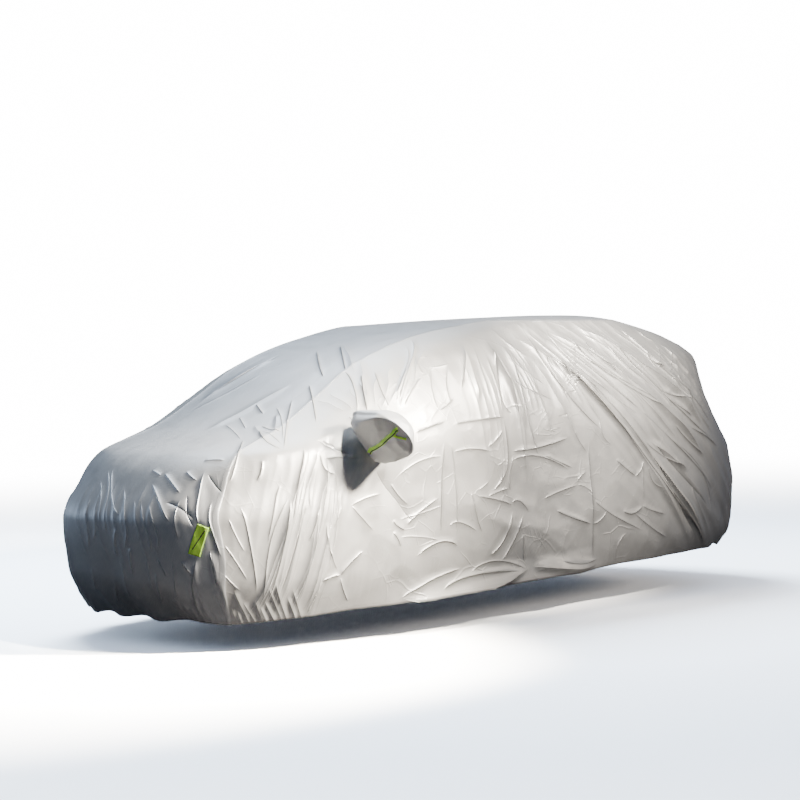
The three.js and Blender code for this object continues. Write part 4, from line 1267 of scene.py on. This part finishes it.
def silver_cloth(name, light, dark):
    """Metal-coated cloth, between two tones of silver."""
    material, tree = new_material(name)
    place = add_node(tree, "ShaderNodeTexCoord").outputs["Object"]
    patches = spread(tree, noise(tree, place, 3.0, 3.0)["Fac"], 0.35, 0.65, 0, 1)
    tint = add_node(tree, "ShaderNodeMix",
                    {"Factor": patches, "A": (*dark, 1), "B": (*light, 1)}, data_type="RGBA")
    wear = spread(tree, noise(tree, place, 14.0, 4.0)["Fac"], 0.3, 0.7, 0.40, 0.52)
    shown = add_node(tree, "ShaderNodeAttribute", attribute_name="networks").outputs["Fac"]
    network = number(tree, "MULTIPLY", network_relief(tree, place), shown)
    normal = bump(tree, number(tree, "ADD", crease_relief(tree), network), 1.0, 1.0)
    normal = bump(tree, noise(tree, place, 38.0, 4.0, 0.55)["Fac"], 0.0016, 0.30, normal)
    normal = bump(tree, noise(tree, place, 900.0, 1.0)["Fac"], 0.0002, 0.15, normal)
    give_surface(tree, tint.outputs["Result"], 0.55, wear, normal)
    return material


def reflective_tape():
    material, tree = new_material("reflective_tape")
    place = add_node(tree, "ShaderNodeTexCoord").outputs["Object"]
    wear = spread(tree, noise(tree, place, 45.0, 3.0)["Fac"], 0.3, 0.7, 0.28, 0.45)
    beads = add_node(tree, "ShaderNodeTexVoronoi", {"Scale": 420.0, "Vector": place})
    give_surface(tree, (0.50, 0.86, 0.09, 1), 0.0, wear,
                 bump(tree, beads.outputs["Distance"], 0.0006, 0.25))
    return material


def plain_matte(name, colour):
    material, tree = new_material(name)
    place = add_node(tree, "ShaderNodeTexCoord").outputs["Object"]
    give_surface(tree, (*colour, 1), 0.0, 0.6,
                 bump(tree, noise(tree, place, 700.0, 2.0)["Fac"], 0.0004, 0.4))
    return material


# Two tones of one silver cloth: the lighter is painted light for the lit side panels, the
# darker and bluer is painted shade for the top panel and the pouches.
SIDE_CLOTH_PAINTED_LIT = silver_cloth("silver_cloth_painted_lit", (0.69, 0.68, 0.66), (0.65, 0.64, 0.62))
CLOTH_PAINTED_SHADE = silver_cloth("silver_cloth_painted_shade", (0.55, 0.56, 0.575), (0.52, 0.53, 0.545))
TAPE = reflective_tape()
THREAD = plain_matte("grey_thread", (0.27, 0.27, 0.27))
# A near-black strip material, painted shade: the shadow of the fold down the corner patches and
# along the pouch tape's seam.
SHADE_LINE = plain_matte("painted_shade_line", (0.04, 0.05, 0.02))
print("materials:", ", ".join(m.name for m in bpy.data.materials))

# %% [markdown]
# ## The three panels
# Each panel's grid is laid on the form and becomes a sheet. Its hem is turned under by
# 25 mm, as a casing for the elastic. The centre panel laps 7 mm over the side panels, where
# the seam is felled, and the side panels are cut out round for the pouches.

# %% From grids to sheets
HEM_TURN = 0.025
CLOTH_GAP = 0.003


def faces_between(at, flip=False):
    """Four-sided faces between the rows and columns of a grid of point numbers."""
    corners = [at[:-1, :-1], at[:-1, 1:], at[1:, 1:], at[1:, :-1]]
    if flip:
        corners.reverse()
    return np.stack(corners, axis=-1).reshape(-1, 4)


def grid_faces(rows, columns, flip=False):
    return faces_between(np.arange(rows * columns).reshape(rows, columns), flip)


def turned_hem(laid, normals):
    """Rows that turn a hem under, from the inside up to the edge. Row 0 is the edge."""
    steps = np.linalg.norm(laid[1:5] - laid[:4], axis=-1).mean(axis=1)
    run = np.concatenate([[0.0], np.cumsum(steps)])

    def at(depth):
        k = min(int(np.searchsorted(run, depth)), 4)
        t = (depth - run[k - 1]) / (run[k] - run[k - 1])
        return laid[k - 1] + (laid[k] - laid[k - 1]) * t

    below = laid[0] - laid[1]
    below /= np.maximum(np.linalg.norm(below, axis=-1, keepdims=True), 1e-9)
    under = normals[0] * CLOTH_GAP
    return np.stack([at(HEM_TURN) - under, at(HEM_TURN * 0.5) - under, laid[0] - under,
                     laid[0] - under * 0.5 + below * CLOTH_GAP * 0.45])


NETWORK_SHARE = {"middle": 0.8, "rear_fan": 0.45, "roof_edge": 0.35, "screen_edge": 0.2,
                 "front_fan": 0.25, "nose": 0.25, "top": 0.10, "tail": 0.4, "spoiler": 0.6,
                 "corner": 0.0}


def drop_loose(points, faces):
    """Leaves out points that no face uses, and says which are kept."""
    used = np.unique(faces)
    renumber = np.full(len(points), -1)
    renumber[used] = np.arange(len(used))
    return points[used], renumber[faces], used


def sheet_creases(piece, form, normals, layers, before, after, kept=None):
    """Writes the creases of a sheet whose grid has turned-in hem points round it."""
    off, rises = crease_values(form.reshape(-1, 3), normals.reshape(-1, 3), layers)
    wide = off.shape[1]
    off = np.concatenate([np.full((before, wide), FAR_OFF), off,
                          np.full((after, wide), FAR_OFF)])
    rises = np.concatenate([np.zeros((before, wide)), rises, np.zeros((after, wide))])
    if kept is not None:
        off, rises = off[kept], rises[kept]
    write_creases(piece, off, rises)
    shares = regions(form.reshape(-1, 3), normals.reshape(-1, 3))
    shown = np.clip(sum(NETWORK_SHARE[name] * share for name, share in shares.items()), 0, 1)
    shown = np.concatenate([np.zeros(before), shown, np.zeros(after)])
    attribute = piece.data.attributes.new("networks", "FLOAT", "POINT")
    attribute.data.foreach_set("value", shown if kept is None else shown[kept])


def cut_round_hole(form, faces):
    """Moves form points that are inside the pouch's hole onto its edge, and drops faces."""
    x = (form[:, 0] - POUCH["x"]) / POUCH["hole"][0]
    z = (form[:, 2] - POUCH["height"]) / POUCH["hole"][1]
    near = (np.abs(form[:, 1]) > 0.5) & (np.abs(x) < 3) & (np.abs(z) < 3)
    radius = np.where(near, (np.abs(x) ** POUCH["corner"] + np.abs(z) ** POUCH["corner"])
                      ** (1 / POUCH["corner"]), 9.0)
    inside = radius < 1
    keep = faces[~np.all(inside[faces], axis=1)]
    moved = form.copy()
    edge = np.nonzero(inside & (radius > 1e-3))[0]
    moved[edge, 0] = POUCH["x"] + (form[edge, 0] - POUCH["x"]) / radius[edge]
    moved[edge, 2] = POUCH["height"] + (form[edge, 2] - POUCH["height"]) / radius[edge]
    side = np.sign(form[edge, 1])
    moved[edge, 1] = on_side(moved[edge, 0], moved[edge, 2])[:, 1] * side
    return moved, keep


def make_side(name, side):
    rows, columns = side_base.shape[:2]
    form = side_base * (1, side, 1)
    faces = grid_faces(rows, columns, flip=side < 0)
    moved, faces = cut_round_hole(form.reshape(-1, 3), faces)
    laid, normals = lay(moved.reshape(form.shape))
    inner = turned_hem(laid, normals)
    count = inner.shape[0]
    hem_grid = np.concatenate([inner, laid[:1]])
    hem_faces = grid_faces(count + 1, columns, flip=side < 0)
    shifted = np.where(hem_faces < count * columns, hem_faces + rows * columns,
                       hem_faces - count * columns)
    points = np.concatenate([laid.reshape(-1, 3), inner.reshape(-1, 3)])
    points, faces, kept = drop_loose(points, np.concatenate([faces, shifted]))
    # The side panels take the lighter silver, painted light.
    piece = add_mesh(name, points, faces, SIDE_CLOTH_PAINTED_LIT)
    sheet_creases(piece, moved, normals, LEFT_LAYERS if side > 0 else RIGHT_LAYERS, 0,
                  inner[..., 0].size, kept)
    print(name, len(piece.data.vertices), "points, spans",
          np.round(points.max(0) - points.min(0), 3))
    return piece, laid, normals


LAP = ((0.0075, 0.0002), (0.0070, 0.0008), (0.0035, 0.0009))   # past the seam, and how high


def make_centre():
    left = across_form(seam, seam_y + np.array([out for out, _ in LAP])[None, :])
    right = (left * (1, -1, 1))[:, ::-1]
    form = np.concatenate([left, centre_base, right], axis=1)
    columns = form.shape[1]
    raised = np.zeros(columns)
    raised[:3] = [up for _, up in LAP]
    raised[3:5] = 0.0008, 0.0004
    raised = np.maximum(raised, raised[::-1])
    laid, normals = lay(form, np.broadcast_to(raised, form.shape[:2]).reshape(-1))
    front = turned_hem(laid, normals)
    rear = turned_hem(laid[::-1], normals[::-1])[::-1]
    grid = np.concatenate([front, laid, rear])
    # The centre panel takes the darker, bluer silver, painted shade for the top.
    piece = add_mesh("centre_cloth", grid, grid_faces(*grid.shape[:2], flip=True),
                     CLOTH_PAINTED_SHADE)
    turned = front[..., 0].size
    sheet_creases(piece, form, normals, LEFT_LAYERS, turned, turned)
    print("centre_cloth", len(piece.data.vertices), "points")
    return piece, laid, normals


centre_cloth, centre_laid, centre_normals = make_centre()
left_cloth, left_laid, left_normals = make_side("left_side_cloth", 1)
right_cloth, right_laid, right_normals = make_side("right_side_cloth", -1)
for piece, node in ((centre_cloth, "centre_panel"), (left_cloth, "left_side_panel"),
                    (right_cloth, "right_side_panel")):
    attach(piece, "root")
    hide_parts(node)

# %% [markdown]
# ## The mirror pouches
# A pouch is a bag sewn round the hole. A table for each gives sections from the hole
# outwards: how far out, how wide and high, and how far their middle lies ahead of the hole
# and above it. The left one is filled, and its front is pressed flat by the mirror inside.
# The right one is slack over a folded mirror. Their cloth is gathered at the hole, so
# folds run out from there and fade.

# %% Pouch sections
FULL_RINGS = np.array([
    # out, half width, half height, ahead, lift
    (-0.022, 0.058, 0.064, 0.000, 0.000),
    (0.012, 0.058, 0.064, 0.000, 0.000),
    (0.045, 0.094, 0.107, 0.030, 0.014),
    (0.095, 0.116, 0.126, 0.060, 0.031),
    (0.155, 0.119, 0.125, 0.073, 0.029),
    (0.216, 0.107, 0.107, 0.076, 0.022),
    (0.258, 0.080, 0.076, 0.076, 0.014),
    (0.282, 0.041, 0.038, 0.074, 0.009),
    (0.293, 0.004, 0.004, 0.072, 0.006),
])
SLACK_RINGS = np.array([
    (-0.022, 0.058, 0.064, 0.000, 0.000),
    (0.012, 0.058, 0.064, 0.000, 0.000),
    (0.038, 0.088, 0.084, 0.005, -0.016),
    (0.066, 0.098, 0.092, 0.008, -0.028),
    (0.092, 0.092, 0.084, 0.009, -0.036),
    (0.110, 0.066, 0.060, 0.009, -0.040),
    (0.120, 0.034, 0.031, 0.009, -0.042),
    (0.125, 0.004, 0.004, 0.009, -0.043),
])
POUCH_BASE = float(on_side(POUCH["x"], POUCH["height"])[1]) + TENT["rise"]
POUCH_STRAIGHTENS = 0.15
FLAT_FRONT = {"normal": (0.80, 0.28, -0.53), "at": (1.930, 0.99, 0.953), "press": 0.12}


def pouch_point(rings, out, turn):
    size_x, size_z, ahead, lift = (monotone(rings[:, 0], rings[:, k], out)
                                   for k in (1, 2, 3, 4))
    c, s = np.cos(turn), np.sin(turn)
    power = 2.0 / POUCH["corner"]
    pulls = sum(a * np.cos(n * turn + shift) for n, a, shift in
                ((5, 0.5, 0.6), (8, 0.35, 2.1), (13, 0.3, 4.0), (21, 0.15, 1.0)))
    gathered = 0.075 * np.exp(-np.maximum(out, 0) / 0.075) + 0.018
    grow = 1 + gathered * pulls * smooth(0.0, 0.02, out)
    x = POUCH["x"] + ahead + size_x * grow * rounded(c, power)
    z = POUCH["height"] + lift + size_z * grow * rounded(s, power)
    followed = on_side(x, z)[..., 1] + TENT["rise"]
    straight = smooth(0, POUCH_STRAIGHTENS, out)
    y = followed + (POUCH_BASE - followed) * straight + out
    return np.stack([x, y, z], axis=-1)


def press_flat(points):
    """Presses what stands ahead of a slanted plane back towards it."""
    normal = np.array(FLAT_FRONT["normal"]) / np.linalg.norm(FLAT_FRONT["normal"])
    ahead = (points - np.array(FLAT_FRONT["at"])) @ normal
    soft = 0.006 * np.logaddexp(0.0, ahead / 0.006)
    return points - (soft * (1 - FLAT_FRONT["press"]))[..., None] * normal


def pouch_shell(rings, outs, turns, lift=0.0):
    """Points of the pouch's cloth, with its crumple, raised by lift."""
    out, turn = np.meshgrid(outs, turns, indexing="ij")

    def place(out, turn):
        points = pouch_point(rings, out, turn)
        return press_flat(points) if rings is FULL_RINGS else points

    grid = place(out, turn)
    along = place(out + 0.002, turn) - grid
    across = place(out, turn + 0.02) - grid
    normals = np.cross(along, across)
    normals /= np.maximum(np.linalg.norm(normals, axis=-1, keepdims=True), 1e-12)
    flat = grid.reshape(-1, 3)
    film = (0.0075 * facets(flat, (1, 0.6, 0.3), (0, 0, 1), (0.13, 0.080, 0.10), 5)
            + 0.0035 * facets(flat, (1, -0.4, 0.8), (0, 0, 1), (0.06, 0.034, 0.05), 6))
    end = rings[-1, 0]
    fade = smooth(0.0, 0.04, out) * (1 - smooth(end - 0.023, end - 0.003, out))
    return grid + normals * (film.reshape(out.shape) * fade + lift)[..., None]


def even_outs(rings, count):
    """How far out the rows of a pouch lie, evenly spaced along its outline."""
    fine = np.linspace(0.004, rings[-1, 0] - 0.001, 400)
    size = sum(monotone(rings[:, 0], rings[:, k], fine) for k in (1, 2)) / 2
    run = np.concatenate([[0.0], np.cumsum(np.hypot(np.diff(fine), np.diff(size)))])
    return np.interp(np.linspace(0, run[-1], count), run, fine)


def make_pouch(name, side, rings, rows):
    turns = np.linspace(0, 2 * math.pi, 145)[:-1]
    shell = pouch_shell(rings, even_outs(rings, rows), turns)
    c, s = np.cos(turns), np.sin(turns)
    power = 2.0 / POUCH["corner"]
    rim = []
    for past, up in ((0.010, 0.0008), (0.009, 0.0018), (0.004, 0.0020)):
        x = POUCH["x"] + (POUCH["hole"][0] + past) * rounded(c, power)
        z = POUCH["height"] + (POUCH["hole"][1] + past) * rounded(s, power)
        rim.append(lay(on_side(x, z), up)[0])
    grid = np.concatenate([np.stack(rim), shell])
    rows, columns = grid.shape[:2]
    at = np.arange(rows * columns).reshape(rows, columns)
    at = np.concatenate([at, at[:, :1]], axis=1)
    tip = rows * columns
    caps = [[a, b, tip] if side < 0 else [b, a, tip]
            for a, b in zip(at[-1, :-1].tolist(), at[-1, 1:].tolist())]
    faces = faces_between(at, flip=side > 0).tolist() + caps
    points = np.concatenate([grid.reshape(-1, 3), shell[-1].mean(axis=0)[None, :]])
    # The pouch takes the darker silver, painted shade for its face.
    return add_mesh(name, points * (1, side, 1), faces, CLOTH_PAINTED_SHADE)


pouches = {}
for word, side, rings, rows in (("left", 1, FULL_RINGS, 78), ("right", -1, SLACK_RINGS, 44)):
    pouch = make_pouch(f"{word}_pouch_cloth", side, rings, rows)
    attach(pouch, "root")
    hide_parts(f"mirror_pocket_{word}")
    pouches[word] = pouch
    print(pouch.name, len(pouch.data.vertices), "points")

# %% [markdown]
# ## Tape and patches
# The tape is a strip laid over the pouch from its lower front edge to its end, where it
# splits in two, with a near-black line along its seam that is painted shade. The patches
# at the front corners have a near-black strip down their middle, painted shade for the
# fold there. Each strip follows the cloth under it a millimetre above.

# %% Strips of tape
FULL_TAPE = {       # how far out and at what turn in degrees, from foot to tip
    "path": ((0.055, -44), (0.100, -44), (0.145, -40), (0.192, -28), (0.240, -10), (0.266, 14)),
    "fork": ((0.235, -12), (0.284, -28))}
SLACK_TAPE = {
    "path": ((0.046, -58), (0.068, -29), (0.090, 1), (0.112, 30)),
    "fork": ((0.092, -6), (0.120, -26))}
PATCH = {"width": 0.058, "from": (0.556, 0.597), "to": (0.516, 0.463), "slant": -0.040}


def outwards(points, faces):
    """The same faces, turned over where they would face inwards."""
    volume = sum(points[f[0]] @ np.cross(points[f[k]], points[f[k + 1]])
                 for f in faces for k in range(1, len(f) - 1))
    return faces if volume > 0 else [[f[0], *f[:0:-1]] for f in faces]


def path_strip(centre, across, up, width, thickness, material, lanes=4):
    """A strip with rounded edges along a path; across and up are unit vectors at each."""
    half, bulge = width / 2, thickness * 0.3
    profile = [(a, thickness) for a in np.linspace(-half, half, lanes + 1)]
    profile += [(half + bulge, thickness * 0.4), (half, 0.0), (-half, 0.0),
                (-half - bulge, thickness * 0.4)]
    points = np.stack([centre + across * a + up * b for a, b in profile], axis=1)
    at = np.arange(points[..., 0].size).reshape(points.shape[:2])
    faces = faces_between(np.concatenate([at, at[:, :1]], axis=1)).tolist()
    faces += [at[0, ::-1].tolist(), at[-1].tolist()]
    points = points.reshape(-1, 3)
    return points, outwards(points, faces), material


def sheet_strip(grid, normals, thickness, material):
    """A thin closed slab: the grid as its underside, and the same grid raised as its top."""
    rows, columns = grid.shape[:2]
    points = np.concatenate([(grid + normals * thickness).reshape(-1, 3),
                             grid.reshape(-1, 3)])
    size = rows * columns
    at = np.arange(size).reshape(rows, columns)
    border = np.concatenate([at[0, :-1], at[:-1, -1], at[-1, :0:-1], at[:0:-1, 0]])
    following = np.roll(border, -1)
    walls = np.stack([following, border, border + size, following + size], axis=1)
    faces = np.concatenate([faces_between(at), faces_between(at, flip=True) + size,
                            walls]).tolist()
    return points, outwards(points, faces), material


def join(name, parts):
    """One piece from parts that each have points, faces and a material."""
    points, faces, index = [], [], []
    materials = [TAPE, SHADE_LINE]
    for part_points, part_faces, material in parts:
        faces += [[len(points) + k for k in face] for face in part_faces]
        points += part_points.tolist()
        index += [materials.index(material)] * len(part_faces)
    return add_mesh(name, points, faces, *materials, index=index)


def pouch_strip(rings, outs, turns, lift):
    """Centre, across and up along a path over the pouch."""
    centre, up = [], []
    for out, turn in zip(outs, turns):
        here, further = pouch_shell(rings, np.array([out, out + 0.004]),
                                    np.array([turn]), lift)[:, 0]
        turned = pouch_shell(rings, np.array([out]), np.array([turn + 0.04]), lift)[0, 0]
        normal = np.cross(further - here, turned - here)
        centre.append(here)
        up.append(normal / np.linalg.norm(normal))
    centre, up = np.array(centre), np.array(up)
    along = np.gradient(centre, axis=0)
    across = np.cross(along, up)
    across /= np.linalg.norm(across, axis=1, keepdims=True)
    return centre, across, up


# %% Pouch tape and corner patches
def make_pouch_tape(word, side, rings, tape):
    path = np.array(tape["path"])
    steps = np.linspace(0, len(path) - 1, 44)
    outs, turns = (monotone(np.arange(len(path)), path[:, k], steps) for k in (0, 1))
    fork_outs, fork_turns = np.linspace(*tape["fork"], 16).T
    parts = []
    for outs, turns, width, lift, material, thickness in (
            (outs, turns, 0.022, 0.0016, TAPE, 0.0010),
            # A near-black line along the tape, painted shade along its seam.
            (outs, turns - 4, 0.0035, 0.0026, SHADE_LINE, 0.0016),
            (fork_outs, fork_turns, 0.013, 0.0016, TAPE, 0.0010)):
        lines = [v * (1, side, 1) for v in pouch_strip(rings, outs, np.radians(turns), lift)]
        parts.append(path_strip(*lines, width, thickness, material))
    return join(f"{word}_pouch_tape", parts)


def make_patch(word, side):
    count = 30
    t = np.linspace(0, 1, count)
    y, height = np.linspace(PATCH["from"], PATCH["to"], count).T
    path = on_end(y, height, 1)
    across = np.cross(np.gradient(path, axis=0), form_normals(path))
    across /= np.linalg.norm(across, axis=1, keepdims=True)
    parts = []
    for width, lift, thickness, material, keep, slant in (
            (PATCH["width"], 0.0012, 0.0010, TAPE, slice(0, count), 0.0),
            # A near-black strip down the patch's middle, painted shade for its fold.
            (0.0045, 0.0024, 0.0012, SHADE_LINE, slice(3, count - 5), PATCH["slant"])):
        centre = path[keep] + across[keep] * (slant * (0.5 - t[keep]))[:, None]
        grid = np.stack([centre + across[keep] * lane * width
                         for lane in np.linspace(-0.5, 0.5, 13)], axis=1)
        parts.append(sheet_strip(*lay(grid * (1, side, 1), lift), thickness, material))
    return join(f"{word}_corner_tape", parts)


for word, side, rings, path in (("left", 1, FULL_RINGS, FULL_TAPE),
                                ("right", -1, SLACK_RINGS, SLACK_TAPE)):
    for piece, node in ((make_pouch_tape(word, side, rings, path), f"pocket_tape_{word}"),
                        (make_patch(word, side), f"corner_patch_{word}")):
        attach(piece, "root")
        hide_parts(node)
        print(piece.name, len(piece.data.polygons), "faces")

# %% [markdown]
# ## Stitches
# Geometry Nodes set the stitches: a path becomes points a pitch apart, and each point gets
# a short rounded thread that lies along the path. The same tree serves the felled seams
# and the hem casings.

# %% The stitch tree
STITCH_INPUTS = (("Geometry", "Geometry", None), ("Pitch", "Float", 0.008),
                 ("Thread radius", "Float", 0.0006), ("Half length", "Float", 0.003),
                 ("Seed", "Int", 1), ("Thread", "Material", None))


def stitch_tree():
    tree = bpy.data.node_groups.new("row_of_stitches", "GeometryNodeTree")
    for name, kind, value in STITCH_INPUTS:
        socket = tree.interface.new_socket(name, in_out="INPUT",
                                           socket_type="NodeSocket" + kind)
        if value is not None:
            socket.default_value = value
    tree.interface.new_socket("Geometry", in_out="OUTPUT", socket_type="NodeSocketGeometry")
    given = add_node(tree, "NodeGroupInput").outputs
    curve = add_node(tree, "GeometryNodeMeshToCurve", {"Mesh": given["Geometry"]})
    points = add_node(tree, "GeometryNodeCurveToPoints",
                      {"Curve": curve.outputs["Curve"], "Length": given["Pitch"]},
                      mode="LENGTH").outputs
    vary = add_node(tree, "FunctionNodeRandomValue",
                    {"Min": 0.85, "Max": 1.08, "Seed": given["Seed"]}, data_type="FLOAT")
    length = number(tree, "MULTIPLY", given["Half length"], vary.outputs["Value"])
    size = add_node(tree, "ShaderNodeCombineXYZ",
                    {"X": given["Thread radius"], "Y": given["Thread radius"], "Z": length})
    ball = add_node(tree, "GeometryNodeMeshUVSphere",
                    {"Segments": 5, "Rings": 4, "Radius": 1.0})
    put = add_node(tree, "GeometryNodeInstanceOnPoints",
                   {"Points": points["Points"], "Rotation": points["Rotation"],
                    "Instance": ball.outputs["Mesh"], "Scale": size.outputs["Vector"]})
    real = add_node(tree, "GeometryNodeRealizeInstances",
                    {"Geometry": put.outputs["Instances"]})
    paint = add_node(tree, "GeometryNodeSetMaterial",
                     {"Geometry": real.outputs["Geometry"], "Material": given["Thread"]})
    add_node(tree, "NodeGroupOutput", {"Geometry": paint.outputs["Geometry"]})
    return tree


STITCHES = stitch_tree()


def add_stitches(name, paths, pitch, seed):
    """Stitches along one or more paths of points above the ground, as one piece."""
    points, edges = [], []
    for path in paths:
        first = len(points)
        points += (np.asarray(path) - (0, 0, ROOF_UNDERSIDE)).tolist()
        edges += [(first + k, first + k + 1) for k in range(len(path) - 1)]
    mesh = bpy.data.meshes.new(name + "_path")
    mesh.from_pydata(points, edges, [])
    carrier = bpy.data.objects.new(name + "_path", mesh)
    bpy.context.scene.collection.objects.link(carrier)
    modifier = carrier.modifiers.new("stitches", "NODES")
    modifier.node_group = STITCHES
    values = {"Pitch": pitch, "Thread radius": 0.00045, "Half length": pitch * 0.36,
              "Seed": seed, "Thread": THREAD}
    for item in STITCHES.interface.items_tree:
        if item.item_type == "SOCKET" and item.in_out == "INPUT" and item.name in values:
            modifier[item.identifier] = values[item.name]
    graph = bpy.context.evaluated_depsgraph_get()
    made = bpy.data.meshes.new_from_object(carrier.evaluated_get(graph))
    carrier.modifiers.clear()
    bpy.data.objects.remove(carrier)
    made.polygons.foreach_set("use_smooth", [True] * len(made.polygons))
    piece = bpy.data.objects.new(name, made)
    bpy.context.scene.collection.objects.link(piece)
    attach(piece, "root")
    print(name, len(made.polygons), "faces")


# %% Rows of stitches
def hem_path(laid, normals, out=0.0006):
    """A row of stitches 24 mm above the hem, on a grid whose row 0 is the edge."""
    steps = np.linalg.norm(laid[1:8] - laid[:7], axis=-1).mean(axis=1)
    run = np.concatenate([[0.0], np.cumsum(steps)])
    k = int(np.searchsorted(run, HEM_TURN - 0.002))
    t = (HEM_TURN - 0.002 - run[k - 1]) / (run[k] - run[k - 1])
    return (laid[k - 1] + (laid[k] - laid[k - 1]) * t + normals[k] * out)[2:-2]


SEAM_COLUMN = 4             # of the centre panel's grid, just inside the seam
for word, side, laid, normals in (("left", 1, left_laid, left_normals),
                                  ("right", -1, right_laid, right_normals)):
    column = SEAM_COLUMN if side > 0 else centre_laid.shape[1] - 1 - SEAM_COLUMN
    seam_row = centre_laid[:, column] + centre_normals[:, column] * 0.0006
    add_stitches(f"{word}_stitches", [seam_row, hem_path(laid, normals)], 0.0085,
                 3 if side > 0 else 4)
add_stitches("end_stitches", [hem_path(centre_laid, centre_normals),
                              hem_path(centre_laid[::-1], centre_normals[::-1])], 0.0085, 5)

# %% [markdown]
# ## How much cloth each sheet holds
# The panels are long shapes cut from a roll, fuller than the car is long.

# %% Sheets
def cloth_area(piece):
    return sum(face.area for face in piece.data.polygons)


for piece in (centre_cloth, left_cloth, right_cloth, pouches["left"], pouches["right"]):
    print(piece.name, "has", round(cloth_area(piece), 3), "square metres")
